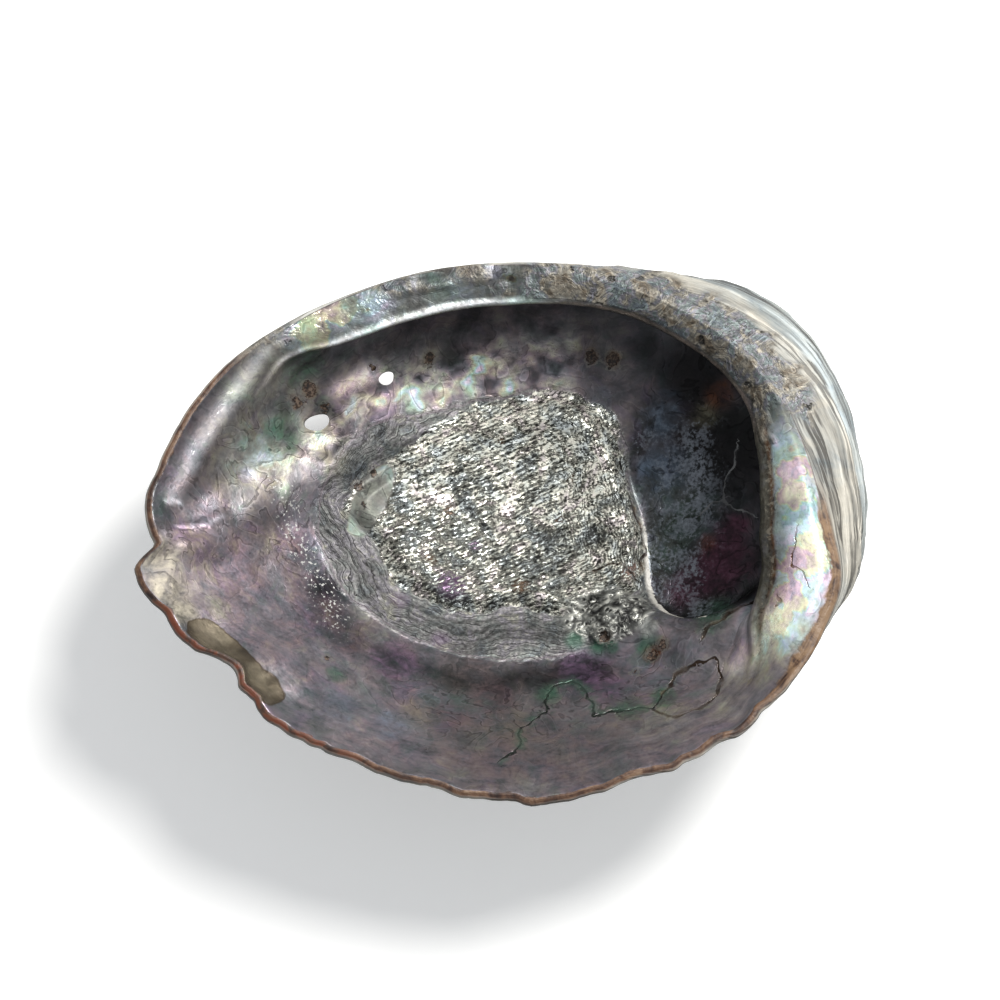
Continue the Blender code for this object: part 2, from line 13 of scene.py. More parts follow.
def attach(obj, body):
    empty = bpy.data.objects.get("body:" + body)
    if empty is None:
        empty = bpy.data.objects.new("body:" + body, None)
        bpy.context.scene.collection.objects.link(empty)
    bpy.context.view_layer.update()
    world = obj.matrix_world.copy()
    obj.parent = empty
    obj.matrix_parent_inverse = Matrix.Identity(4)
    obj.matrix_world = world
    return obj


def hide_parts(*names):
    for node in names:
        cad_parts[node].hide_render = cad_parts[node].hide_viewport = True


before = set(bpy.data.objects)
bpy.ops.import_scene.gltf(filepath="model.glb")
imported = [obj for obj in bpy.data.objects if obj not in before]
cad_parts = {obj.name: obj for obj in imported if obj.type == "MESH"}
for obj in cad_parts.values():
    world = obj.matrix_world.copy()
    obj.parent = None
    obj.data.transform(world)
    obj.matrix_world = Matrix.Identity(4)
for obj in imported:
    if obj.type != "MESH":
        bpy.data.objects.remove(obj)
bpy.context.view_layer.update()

# The middle of the part's box is over its origin, and the outline's centre is not
PLAN_SHIFT = (-0.00125, -0.00226, 0.0)

# Camera: height angle, distance and lens of the photograph, and the place it looks at
CAMERA_ELEVATION = 72.0
CAMERA_DISTANCE = 0.90
CAMERA_LENS = 118.0
CAMERA_TARGET = (-0.00165, 0.00674, 0.052)

# Mesh fineness
MERIDIANS = 600
OUTER_RINGS = 56
LIP_RINGS = 5
INNER_RINGS = (122, 4, 12, 26)
FLOOR_SAMPLES = 240
PROFILE_STEPS = 400
FIRST_INNER = OUTER_RINGS + LIP_RINGS
NOSE_RING = FIRST_INNER + INNER_RINGS[3]

# Shape of the skin, the same values as in the solid
FLOOR_END = (0.69, 0.84)
EDGE_SHARES = (0.75, 0.79, 0.83, 0.87, 0.90, 0.93, 0.96, 0.992)
OUTLINE_CENTRE = (0.0, 0.0012)
LIP_RADIUS = (
    (0, 0.0900), (15, 0.0880), (30, 0.0876), (45, 0.0852), (60, 0.0826), (75, 0.0810),
    (90, 0.0796), (105, 0.0798), (120, 0.0813), (135, 0.0849), (150, 0.0904), (165, 0.0945),
    (180, 0.0965), (195, 0.0930), (210, 0.0860), (225, 0.0816), (240, 0.0778), (255, 0.0756),
    (270, 0.0760), (285, 0.0784), (300, 0.0810), (315, 0.0856), (330, 0.0900), (342, 0.0927),
    (350, 0.0935))
LIP_LOBES = (
    (175.5, 4.0, 0.0013), (183.0, 2.0, -0.0015), (190.0, 5.5, 0.0052), (200.0, 4.0, 0.0022),
    (209.0, 5.0, -0.0029), (221.0, 4.0, 0.0008), (239.0, 4.0, -0.0012), (254.0, 4.0, -0.0006),
    (262.0, 3.0, 0.0008), (277.0, 6.0, 0.0013), (296.0, 4.0, -0.0012), (313.0, 3.0, -0.0005),
    (318.5, 3.0, 0.0010))
# Finer nicks than the solid's
LIP_NICKS = (
    (184.0, 1.0, -0.0013), (187.0, 1.4, 0.0012), (195.5, 1.5, -0.0006), (203.5, 1.2, 0.0007),
    (213.0, 1.3, 0.0008), (217.0, 1.1, -0.0007), (226.0, 1.4, 0.0006), (232.0, 1.2, -0.0005),
    (268.0, 1.2, 0.0004), (273.0, 1.0, -0.0004), (304.0, 1.5, 0.0005), (323.0, 1.4, -0.0005))
RAGGED = (0.00040, 0.0060)
LOBE_DEPTH = 8.0
LIP_HEIGHT = (
    (0, 0.0540), (30, 0.0525), (60, 0.0505), (90, 0.0495), (120, 0.0505), (150, 0.0530),
    (180, 0.0550), (210, 0.0540), (240, 0.0520), (270, 0.0510), (300, 0.0530), (330, 0.0550))
KEEL = (0.010, 0.012)
RISE_POWER = (
    (0, 4.0), (30, 3.9), (60, 3.5), (90, 3.0), (120, 2.6), (150, 2.35), (180, 2.15),
    (225, 1.9), (270, 1.8), (300, 2.05), (330, 3.0), (345, 3.6))
ROUND_SHARE = (
    (0, 0.45), (30, 0.43), (60, 0.38), (90, 0.34), (120, 0.22), (150, 0.08), (180, 0.0),
    (225, 0.0), (270, 0.0), (300, 0.05), (330, 0.22), (345, 0.36))
BULGE = (
    (0, 0.0145), (15, 0.0192), (30, 0.0225), (45, 0.0222), (60, 0.0118), (75, 0.0045),
    (90, 0.0010), (105, 0.0003), (120, 0.0), (180, 0.0), (240, 0.0), (330, 0.0), (340, 0.0012),
    (350, 0.0070))
BULGE_POWER = 2.2
WORN_FOOT = 0.0008
WALL = 0.0036
LIP_WALL = 0.0026
LIP_ROUND = 0.6
LAYERED_RISE = 0.0018
SCAR_RISE = 0.0036
LEDGE_RISE = 0.0020
SCAR_CENTRE = (0.0, 0.020)
SCAR_RADIUS = (
    (11, 0.0377), (30, 0.0388), (44, 0.0394), (56, 0.0385), (75, 0.0326), (102, 0.0288),
    (128, 0.0287), (153, 0.0328), (169, 0.0385), (182, 0.0448), (196, 0.0385), (217, 0.0378),
    (235, 0.0355), (254, 0.0333), (280, 0.0296), (297, 0.0361), (314, 0.0400), (328, 0.0462),
    (338, 0.0441), (353, 0.0400))
LAYERED_RADIUS = (
    (11, 0.0395), (44, 0.0410), (75, 0.0345), (102, 0.0315), (128, 0.0340), (161, 0.0463),
    (185, 0.0516), (210, 0.0512), (225, 0.0489), (244, 0.0464), (266, 0.0460), (290, 0.0474),
    (310, 0.0522), (330, 0.0520), (350, 0.0420))
CHAMBER_CENTRE = (0.062, 0.010)
CHAMBER_RADIUS = (
    (0, 0.030), (45, 0.045), (90, 0.060), (120, 0.045), (137, 0.0343), (152, 0.0252),
    (184, 0.0209), (207, 0.0230), (224, 0.0256), (238, 0.0265), (251, 0.0267), (265, 0.0271),
    (279, 0.0263), (294, 0.0219), (315, 0.0198), (336, 0.0250))
CHAMBER_WALL = 0.0030
BRIDGE = ((0.036, -0.014), (0.058, -0.024), (0.075, -0.021))
BRIDGE_REACH = 0.017
SHELF_GROWTH = (
    (-60, 0.0), (-36, 0.0), (-28, 0.3), (-20, 0.8), (-12, 1.0), (40, 1.0), (90, 1.0),
    (132, 1.0), (141, 0.6), (149, 0.1), (155, 0.0), (200, 0.0), (250, 0.0))
SHELF_WIDTH = (
    (-60, 0.0300), (-40, 0.0300), (-27, 0.0274), (-19, 0.0234), (-12, 0.0216), (-5, 0.0185),
    (1, 0.0148), (10, 0.0121), (20, 0.0102), (30, 0.0090), (50, 0.0087), (60, 0.0086),
    (70, 0.0098), (80, 0.0110), (92, 0.0118), (116, 0.0126), (128, 0.0129), (133, 0.0124),
    (138, 0.0090), (143, 0.0065), (150, 0.0055), (200, 0.0050))
SHELF_DROP = (
    (-60, 0.022), (-36, 0.0210), (-28, 0.0165), (-20, 0.0120), (-12, 0.0085), (-5, 0.0065),
    (15, 0.0045), (40, 0.0038), (80, 0.0025), (120, 0.0020), (140, 0.0016), (200, 0.0016))
SHELF_CROWN = (
    (-60, 0.0030), (-20, 0.0040), (0, 0.0034), (20, 0.0022), (50, 0.0014), (90, 0.0006),
    (130, 0.0003), (200, 0.0003))
SHELF_PLATE = 0.0036
APEX = (0.064, 0.0)
SHRINK = 0.842
GROWTH_STEP = 0.105
GROWTH_LEDGE = 0.0011
BULGE_LEDGES = 4.0
BULGE_LEDGE = 0.0013
SPIRE_KNOB = (0.011, 0.0026)
SPIRE_BLANK = 0.030
PORE_ROW_REACH = 0.160
PORE_ROW_ANGLE = 180.0
PORE_SPACING = 9.6
PORE_GROOVE = (0.0052, 0.0013)
PORE_RIDGE = (0.0075, 0.0022)
TUBERCLE = (0.0050, 0.0017)
INNER_RIDGE = (-0.0105, 0.0042, 0.0013)
NOTCH_CREASE = ((-0.0945, -0.0035), (-0.0882, 0.0006), (-0.0831, 0.0037), (-0.0776, 0.0080))
OPEN_PORES = (((-0.0526, 0.0394, 0.0300), 0.0072, 0.0046, 22.0),
              ((-0.0330, 0.0534, 0.0283), 0.0048, 0.0034, 24.0))
PORE_LEAN = 18.0
PORE_CUT = 0.030
INNER_SPOTS = (
    ((-0.0199, 0.0588), 0.0030, -0.0010), ((0.0255, 0.0617), 0.0032, -0.0010),
    ((0.0319, 0.0601), 0.0034, -0.0011), ((-0.0704, 0.0225), 0.0036, -0.0010),
    ((0.0292, -0.0188), 0.0042, 0.0014), ((0.0350, -0.0120), 0.0040, 0.0011),
    ((0.0225, -0.0130), 0.0036, 0.0010), ((0.0440, -0.0180), 0.0044, 0.0012))
MARGIN_ROLL = (140.0, 176.0, 0.0095, 0.0045, 0.0013)
LIP_DENT = ((-0.0700, -0.0375), -38.0, 0.0190, 0.0045, 0.0014)

# Fine features that only the skin here has
# Bare patch beside the scar: middle, turn, half length and half width
CLEAN_PATCH = ((-0.0372, 0.0205), 66.0, 0.0130, 0.0050)
# Passes that round off the crest between the shelf and the outer face
CREST_PASSES = 8
# Cracks, as plan points in millimetres
GREEN_CRACK = (
    (-0.4, -61.9), (3.7, -59.3), (5.1, -56.3), (5.1, -50.7), (9.0, -47.7), (12.6, -45.2),
    (13.0, -38.2), (14.4, -36.1), (19.8, -34.0), (23.1, -37.0), (25.4, -42.7), (25.8, -46.6),
    (29.9, -46.1), (33.9, -44.7), (41.2, -45.5), (45.1, -39.9))
BROWN_CRACK = (
    (45.1, -39.9), (49.0, -33.1), (53.8, -31.0), (59.3, -30.1), (60.4, -35.1), (59.6, -41.8),
    (56.2, -45.3), (50.4, -48.4), (46.8, -49.5), (42.0, -46.0))
BAND_CRACKS = (
    ((80.3, 0.0), (79.4, -9.9), (82.1, -13.6), (83.3, -16.8)),
    ((75.2, -15.3), (75.9, -19.0), (73.2, -21.3), (73.4, -23.8), (72.2, -26.6)))
CHAMBER_CRACKS = (
    ((57.0, 17.7), (60.4, 20.0), (63.2, 21.0), (66.7, 17.5), (72.0, 15.0)),
    ((63.2, 21.0), (64.9, 26.4), (66.9, 31.2), (67.7, 35.9)))
LEDGE_CRACK = ((37.0, 24.0), (39.0, 19.0), (40.6, 13.0), (41.4, 8.4), (40.6, 3.0))
SEAM_TAIL = (
    (71.3, -13.0), (69.0, -14.6), (64.5, -16.6), (60.9, -18.6), (57.9, -19.7), (55.3, -24.2))
CLEFT = ((26.0, 1.5), (31.1, 3.4), (34.5, 2.2), (38.6, -0.6))
# Paths of the painted highlights on the ridge, the left streak, the right band and the shelf's start, of
# the pale flecks, and of the painted shade under the shelf and below the scar
RIDGE_PATH = (
    (-66.4, 25.0), (-59.9, 29.9), (-48.9, 38.3), (-39.1, 45.1), (-29.2, 50.1),
    (-17.7, 53.9), (-6.2, 57.2), (5.4, 59.2), (17.0, 59.8))
LEFT_STREAK = (
    (-90.5, 10.1), (-88.0, 16.4), (-85.9, 22.2), (-80.3, 32.8), (-72.8, 44.0), (-66.8, 52.6),
    (-62.0, 56.0))
FLECK_PATH = (
    (-64.0, 22.0), (-60.0, 14.0), (-58.0, 5.0), (-54.0, -1.0), (-50.0, -9.0), (-46.0, -18.0))
BAND_PATH = (
    (79.3, 20.9), (82.5, 13.3), (85.0, 6.0), (86.7, -1.2), (87.0, -9.8), (85.4, -16.8),
    (82.4, -22.2), (78.6, -26.5), (74.2, -30.3))
SHIMMER_PATH = ((-59.1, 57.7), (-53.5, 61.5), (-48.0, 64.5), (-42.4, 67.3), (-36.3, 69.5))
# Painted shade under the shelf
UNDER_SHELF = (
    (-48.5, 54.5), (-28.9, 63.7), (-9.0, 68.7), (16.8, 70.8), (37.0, 67.0), (54.3, 57.9),
    (65.6, 43.1), (72.3, 25.1))
# Painted shade below the scar
DARK_BAND = (
    (-47.5, -10.0), (-45.5, -21.0), (-36.0, -27.0), (-28.4, -30.5), (-14.4, -33.5), (-0.4, -34.3),
    (13.6, -32.6), (27.7, -30.3))
# Blotches of the nacre: plan place and radius in millimetres, then what is added there to its
# brightness, its depth of tint and its hue; the one at (-44, 36) is painted shade that dims a
# highlight below the larger pore
BLOTCHES = (
    (-66.0, -20.0, 26.0, 0.055, 0.20, -0.02), (-40.0, -44.0, 22.0, 0.035, 0.14, 0.02),
    (-75.0, -5.0, 12.0, 0.03, 0.15, 0.08), (23.6, -29.0, 9.0, -0.02, 0.35, 0.02),
    (-57.0, 10.0, 9.0, 0.0, 0.25, 0.0), (-28.0, -27.0, 8.0, -0.01, 0.25, 0.02),
    (30.0, -37.0, 9.0, 0.0, 0.25, 0.05), (-11.0, -58.0, 12.0, 0.0, 0.15, 0.05),
    (10.0, -70.0, 16.0, 0.03, 0.10, 0.1), (46.0, -60.0, 14.0, 0.05, 0.12, 0.1),
    (64.0, -46.0, 14.0, 0.08, 0.10, 0.15), (72.0, -33.0, 8.0, 0.10, 0.10, 0.2),
    (-87.0, -16.0, 9.0, 0.03, 0.0, 0.0), (-44.0, 36.0, 5.5, -0.30, 0.25, 0.10),
    (-45.0, -13.0, 7.0, -0.015, 0.1, 0.0), (0.0, -52.0, 18.0, -0.012, 0.1, 0.05),
    (60.0, 0.0, 14.0, -0.02, 0.1, 0.0), (58.0, 34.0, 14.0, -0.03, 0.1, 0.0),
    (-48.0, -3.0, 8.0, -0.035, 0.1, 0.0), (-48.0, -12.0, 9.0, -0.030, 0.1, 0.0),
    (-55.0, -8.0, 11.0, -0.048, 0.1, 0.0), (-42.5, -22.0, 6.0, -0.04, 0.1, 0.0),
    (50.0, 25.0, 12.0, 0.05, 0.0, -0.2), (47.0, 6.0, 9.0, 0.03, 0.0, -0.2),
    (-70.0, 38.0, 16.0, 0.02, 0.05, 0.0), (-60.0, 44.0, 15.0, 0.0, -0.15, 0.36),
    (-72.0, 28.0, 13.0, 0.0, -0.10, 0.30))
# Colours of the stains, and of the painted shade in the chamber
PAINTS = {
    "green": (0.035, 0.105, 0.065), "olive": (0.15, 0.14, 0.09), "brown": (0.11, 0.060, 0.032),
    "umber": (0.10, 0.078, 0.074), "rust": (0.17, 0.055, 0.022),
    "violet": (0.13, 0.075, 0.14), "plum": (0.066, 0.026, 0.042), "cream": (0.33, 0.30, 0.24),
    "slate": (0.085, 0.122, 0.165), "pitch": (0.009, 0.009, 0.009),
    "silver": (0.42, 0.43, 0.40), "rose": (0.20, 0.12, 0.095), "sage": (0.17, 0.18, 0.155),
    "loam": (0.075, 0.070, 0.055), "sand": (0.21, 0.17, 0.15)}
# Stains: paint, plan place and radius in millimetres, strength; the pitch spots from x 56 to 71 mm
# are painted shade in the chamber, most of it under the shelf
STAINS = (
    ("green", 12.5, -38.5, 4.0, 0.6), ("green", 45.0, -41.0, 4.0, 0.6),
    ("green", 35.0, -44.5, 5.0, 0.55), ("green", 21.0, -20.5, 3.2, 0.75),
    ("green", 27.0, -23.0, 3.2, 0.6), ("green", -58.0, 50.8, 4.0, 0.45),
    ("green", -53.0, 53.5, 3.5, 0.40), ("green", -62.0, 33.0, 5.5, 0.55),
    ("green", -45.5, -36.0, 3.2, 0.5), ("green", 41.5, -23.0, 3.8, 0.55),
    ("green", 58.0, -18.5, 5.0, 0.6), ("green", -50.0, 44.0, 3.5, 0.35),
    ("olive", 58.6, 45.5, 4.2, 0.6), ("olive", 2.0, -50.0, 6.0, 0.35),
    ("olive", -22.0, -46.0, 6.0, 0.30), ("plum", -2.0, -40.0, 7.0, 0.35),
    ("plum", -14.0, -47.0, 6.0, 0.30), ("green", -8.0, -55.0, 5.0, 0.22),
    ("slate", -30.0, -52.0, 6.0, 0.4), ("slate", -44.0, -47.0, 6.0, 0.35),
    ("olive", -35.0, 21.0, 4.5, 0.25), ("olive", -48.0, 31.0, 5.0, 0.3),
    ("rust", 62.0, 50.5, 4.5, 0.5), ("rust", 60.0, 6.0, 3.0, 0.55),
    ("brown", -54.2, 47.1, 2.4, 0.85), ("brown", -57.8, 43.5, 2.2, 0.8),
    ("brown", 25.9, 62.0, 2.1, 0.85), ("brown", 32.0, 61.2, 2.4, 0.85),
    ("brown", -20.5, 59.4, 2.1, 0.7), ("brown", 42.3, -26.3, 2.6, 0.9),
    ("brown", 45.5, -23.9, 2.2, 0.8), ("brown", -14.8, 19.3, 1.8, 0.7),
    ("brown", 16.9, 16.8, 1.5, 0.7), ("brown", -0.4, 39.8, 1.4, 0.6),
    ("brown", -20.4, 3.7, 1.9, 0.7), ("brown", 5.3, -3.2, 2.4, 0.7),
    ("brown", 20.4, 29.2, 1.4, 0.6), ("violet", 23.6, -28.5, 8.0, 0.38),
    ("violet", -14.0, -3.5, 4.5, 0.7), ("violet", -30.0, -28.5, 8.0, 0.3),
    ("violet", 30.0, -37.4, 6.5, 0.3), ("violet", -7.6, 9.2, 1.6, 0.6),
    ("plum", 62.4, 3.0, 9.0, 0.95), ("plum", 66.0, 12.0, 5.0, 0.8), ("plum", 55.0, -4.0, 8.0, 0.8),
    ("rust", 59.0, 9.5, 2.6, 0.35), ("green", 60.0, -12.5, 6.0, 0.5),
    ("pitch", 66.0, 36.0, 12.0, 0.8), ("pitch", 56.0, 56.0, 11.0, 0.75),
    ("pitch", 71.0, 22.0, 9.0, 0.35), ("slate", 47.0, 31.0, 8.0, 0.45),
    ("slate", 46.0, 46.0, 7.0, 0.4), ("cream", -93.5, -8.0, 6.0, 0.8),
    ("cream", -91.0, -17.0, 6.0, 0.8), ("cream", -86.0, -24.0, 4.5, 0.8),
    ("umber", 0.0, -54.0, 20.0, 0.40), ("umber", 24.0, -58.0, 16.0, 0.30),
    ("umber", -10.0, -33.0, 10.0, 0.35), ("rose", 36.3, 0.2, 2.2, 0.8),
    ("rose", 38.6, 2.6, 1.8, 0.8), ("pitch", 36.5, -14.5, 4.2, 0.75),
    ("sage", -35.5, 24.0, 4.6, 0.9), ("sage", -38.5, 16.5, 4.6, 0.9),
    ("umber", -41.0, 24.0, 2.5, 0.5), ("violet", -17.3, -20.9, 3.0, 0.35),
    ("violet", -28.7, -9.0, 3.0, 0.30), ("slate", 44.0, 33.0, 5.0, 0.25),
    ("slate", 28.6, 51.8, 5.0, 0.25), ("pitch", 31.0, -24.0, 2.4, 0.4),
    ("silver", 41.5, -18.2, 3.0, 0.7), ("green", 27.5, -22.0, 2.2, 0.8),
    ("green", 31.5, -22.6, 2.0, 0.7), ("silver", 27.6, -18.4, 1.6, 0.6),
    ("pitch", 29.4, -19.6, 2.4, 1.0), ("pitch", 42.3, -26.6, 1.7, 0.9),
    ("pitch", 45.0, -23.9, 1.5, 0.9), ("rust", 43.4, -25.2, 1.6, 0.5),
    ("pitch", 70.0, 4.0, 6.0, 0.3), ("pitch", -61.5, 41.0, 2.5, 0.4),
    ("pitch", -49.5, 43.5, 2.2, 0.5), ("pitch", -36.5, 55.5, 1.8, 0.4))
OLIVE_FOLD = (
    (-80.5, -28.0), (-76.5, -31.5), (-72.0, -35.2), (-68.0, -38.8), (-64.5, -42.3), (-62.5, -45.0))
# Dark pits with a pale rim: plan place and radius in millimetres
PITS = (
    (-54.2, 47.1, 1.9), (-57.8, 43.5, 1.5), (-55.6, 44.6, 0.9), (25.9, 62.0, 1.6),
    (32.0, 61.2, 1.9), (-20.5, 59.4, 1.7), (42.3, -26.3, 1.4), (45.3, -23.9, 1.3),
    (29.4, -19.6, 1.7), (-49.5, 43.5, 1.3), (-36.5, 55.5, 1.1), (-41.0, 24.0, 1.4),
    (-36.5, 28.5, 1.2), (-38.8, 18.2, 1.0), (-48.0, -31.0, 0.8), (37.5, -31.0, 0.9))
# Paths in millimetres: painted glints, painted light at the shelf's end, and the raised leaf with its
# painted highlight
GLINTS = (
    ((-92.0, 8.3), (-88.0, 9.6)), ((-88.5, 1.8), (-82.0, 3.6)), ((76.5, -23.0), (73.0, -28.5)),
    ((74.5, -22.5), (71.0, -29.0)), ((72.5, -27.0), (69.5, -32.5)))
SHELF_END_LIGHT = ((68.6, -17.0), (67.2, -26.0), (65.5, -34.0))
LEAF = ((-36.0, 54.6), (-41.4, 51.5), (-46.0, 48.6))
# Patches on the shelf: plan place and radius in millimetres, brightness, depth of tint, hue
SHELF_SPOTS = (
    (84.3, -4.1, 4.4, 0.02, 0.80, 0.50), (85.2, -10.0, 4.6, 0.0, 0.80, 0.50),
    (82.0, 3.5, 3.8, -0.05, 0.60, 0.80), (79.0, -9.0, 3.6, -0.08, 0.55, 0.16),
    (78.5, -18.0, 4.5, -0.10, 0.50, 0.10), (74.4, -24.6, 5.0, 0.05, 0.10, 0.30),
    (79.2, 17.0, 4.5, -0.05, 0.40, 0.15), (80.3, 10.0, 4.0, -0.04, 0.40, 0.25),
    (78.0, 23.0, 4.5, -0.06, 0.40, 0.75), (80.5, -21.5, 3.0, 0.0, 0.6, 0.45),
    (-52.0, 59.5, 4.5, 0.05, 0.60, 0.45), (-43.0, 66.5, 4.0, 0.0, 0.50, 0.62),
    (-37.0, 68.5, 4.0, 0.05, 0.30, 0.80), (-47.0, 64.0, 3.5, 0.10, 0.55, 0.40))
# Soft spots of the nacre: plan place and radius in millimetres. Near the pores and at the glare spot
# the painted highlight on the ridge is weaker; at the shelf's start and below the scar the painted
# shade is lighter
PORE_SHADE = (-51.0, 36.0, 6.0)
PORE_COLLAR = (-50.0, 35.5, 11.0)
GLARE = (-65.5, 22.5, 10.5)
SHELF_START = (-46.0, 56.0, 13.0)
BAND_PALE = (-48.0, -14.0, 12.0)
LIP_CORNER = (-92.5, -12.0, 8.0)
WORN_LEFT = (-50.0, 12.0, 20.0)
WORN_RIGHT = (34.0, -30.0, 18.0)
DEEP_PIT = (29.4, -19.6)
BROWN_PIT = (42.6, -25.6, 1.4)
# Turn in radians between two stages of growth
AGE_STEP = 0.02
# Numbers of each point that the materials read, and its distances from outlines
MASKS = (
    "value", "tint", "hue", "rough", "metal", "bumpy", "crinkle", "worn", "flecks", "frost",
    "blister", "ledge", "layers", "eroded", "rim", "tan", "streaky", "fold", "pits", "seamy")
GAPS = ("edge_gap", "scar_gap", "layer_gap")
# Tones of the materials: stops of value and colour, and single colours
PLATE_SPREAD = 12.9898
PEARL_WHITE = (0.985, 0.985, 1.0)
PEARL_HUES = (
    (0.0, (0.85, 0.75, 0.95)), (0.17, (1.0, 0.74, 0.86)), (0.33, (1.0, 0.86, 0.74)),
    (0.5, (0.98, 0.97, 0.66)), (0.67, (0.70, 0.98, 0.80)), (0.83, (0.66, 0.88, 1.0)),
    (1.0, (0.85, 0.75, 0.95)))
NACRE_MOODS = (
    (0.36, (0.80, 1.0, 0.88)), (0.43, (0.93, 0.98, 1.0)), (0.50, (1.0, 0.97, 0.98)),
    (0.57, (1.0, 0.94, 0.88)), (0.64, (0.95, 0.84, 1.0)))
FROST = (0.165, 0.180, 0.205)
FLECK = (0.52, 0.52, 0.50)
LEDGE_CHALK = (0.37, 0.36, 0.33)
SEAM_CRUMBS = ((0.52, 0.47, (0.028, 0.016, 0.010)), (0.64, 0.69, (0.26, 0.23, 0.18)))
OLIVE_TONES = ((0.38, (0.055, 0.040, 0.024)), (0.50, (0.105, 0.083, 0.052)), (0.62, (0.19, 0.160, 0.108)))
OLIVE_EDGE = (0.050, 0.034, 0.020)
SCAR_GRAIN = 24.0
SCAR_TONES = (
    (0.31, (0.020, 0.020, 0.018)), (0.39, (0.110, 0.110, 0.100)), (0.48, (0.225, 0.230, 0.215)),
    (0.57, (0.39, 0.395, 0.37)), (0.69, (0.80, 0.80, 0.75)))
SCAR_TINTS = (
    (0.36, (0.86, 0.93, 1.0)), (0.46, (0.97, 1.0, 0.97)), (0.55, (1.0, 0.98, 0.90)),
    (0.66, (1.0, 0.90, 0.95)))
SCAR_SPECK = (0.012, 0.010, 0.008)
TERRACE_TONES = (
    (0.32, (0.014, 0.014, 0.014)), (0.42, (0.060, 0.060, 0.062)), (0.51, (0.120, 0.123, 0.123)),
    (0.66, (0.34, 0.34, 0.325)))
TERRACE_TINTS = (
    (0.34, (0.80, 0.92, 1.0)), (0.43, (0.93, 1.0, 0.95)), (0.50, (0.98, 0.96, 0.93)),
    (0.58, (0.95, 0.88, 1.0)), (0.66, (1.0, 0.97, 0.82)))
TERRACE_RIM = (0.16, 0.13, 0.15)
BLISTER_TONES = (
    (0.32, (0.012, 0.012, 0.012)), (0.42, (0.08, 0.08, 0.075)), (0.53, (0.21, 0.215, 0.20)),
    (0.66, (0.55, 0.55, 0.50)))
CHALK_TONES = (
    (0.38, (0.060, 0.058, 0.052)), (0.45, (0.145, 0.145, 0.136)), (0.51, (0.225, 0.226, 0.212)),
    (0.56, (0.32, 0.32, 0.298)), (0.66, (0.53, 0.53, 0.50)))
CHALK_TINTS = (
    (0.36, (0.82, 0.92, 1.0)), (0.46, (0.97, 0.98, 0.98)), (0.54, (1.0, 0.98, 0.94)),
    (0.64, (0.98, 0.93, 0.86)))
CHALK_BLUE = (0.80, 0.90, 1.0)
BRICK = (0.22, 0.085, 0.048)
LIP_TONES = (
    (0.40, (0.018, 0.007, 0.004)), (0.49, (0.062, 0.029, 0.017)), (0.57, (0.122, 0.064, 0.035)),
    (0.70, (0.25, 0.168, 0.108)))
LIP_RUST = (0.125, 0.030, 0.011)
LIP_TAN = (0.205, 0.130, 0.070)
WORN_TONES = (
    (0.36, (0.095, 0.115, 0.130)), (0.42, (0.105, 0.130, 0.122)), (0.47, (0.112, 0.108, 0.128)),
    (0.52, (0.125, 0.120, 0.102)), (0.58, (0.180, 0.162, 0.130)), (0.64, (0.080, 0.064, 0.044)))
PIT_RIM = (0.25, 0.24, 0.21)
PIT_TONES = ((0.40, (0.012, 0.008, 0.006)), (0.52, (0.050, 0.030, 0.020)), (0.64, (0.13, 0.095, 0.070)))
CRACK_EDGE = (0.30, 0.30, 0.27)
# Cracks: name, paint, stain beside it and its reach in millimetres, depth in metres, share of the
# pale edge, breadth
NACRE_CRACKS = (
    ("green", (0.018, 0.024, 0.020), (0.05, 0.12, 0.08), 2.5, 0.0003, 0.12, 0.46),
    ("brown", (0.03, 0.018, 0.01), (0.15, 0.11, 0.07), 0.9, 0.0002, 0.40, 0.46),
    ("band", (0.16, 0.07, 0.035), (0.45, 0.36, 0.30), 0.5, 0.0002, 0.1, 0.36),
    ("pale", (0.17, 0.17, 0.17), (0.05, 0.05, 0.05), 0.3, 0.0, 0.0, 0.33))
SCAR_CRACK = ("brown", (0.02, 0.012, 0.008), (0.15, 0.11, 0.07), 0.9, 0.0003, 0.40, 0.46)


def metres(path):
    """A path given in millimetres, in metres."""
    return np.array(path) / 1000.0


def keyed(angle, table):
    """Smooth value at each plan angle from a table of (angle, value) round a full turn."""
    keys = np.array([row[0] for row in table], float)
    values = np.array([row[1] for row in table], float)
    keys = np.concatenate((keys[-2:] - 360.0, keys, keys[:2] + 360.0))
    values = np.concatenate((values[-2:], values, values[:2]))
    slopes = np.gradient(values, keys)
    turn = np.mod(np.asarray(angle, float) - keys[2], 360.0) + keys[2]
    low = np.clip(np.searchsorted(keys, turn, side="right") - 1, 0, len(keys) - 2)
    step = keys[low + 1] - keys[low]
    part = (turn - keys[low]) / step
    rest = 1.0 - part
    return (rest * rest * (1.0 + 2.0 * part) * values[low]
            + part * part * (3.0 - 2.0 * part) * values[low + 1]
            + part * rest * step * (rest * slopes[low] - part * slopes[low + 1]))


def smooth_step(value, low, high):
    """0 below low, 1 above high, smooth between."""
    part = np.clip((value - low) / (high - low), 0.0, 1.0)
    return part * part * (3.0 - 2.0 * part)


def window(value, rising, falling):
    """0 up to the first pair's start, 1 between the pairs, 0 past the second pair's end."""
    return smooth_step(value, *rising) * (1.0 - smooth_step(value, *falling))


def signed_angle(angle):
    """Plan angle from -180 to 180 degrees."""
    return np.where(angle > 180.0, angle - 360.0, angle)


def along_across(x, y, middle, degrees):
    """Distances from a place, along a direction and to the left of it."""
    turn = np.radians(degrees)
    x, y = x - middle[0], y - middle[1]
    return x * np.cos(turn) + y * np.sin(turn), y * np.cos(turn) - x * np.sin(turn)


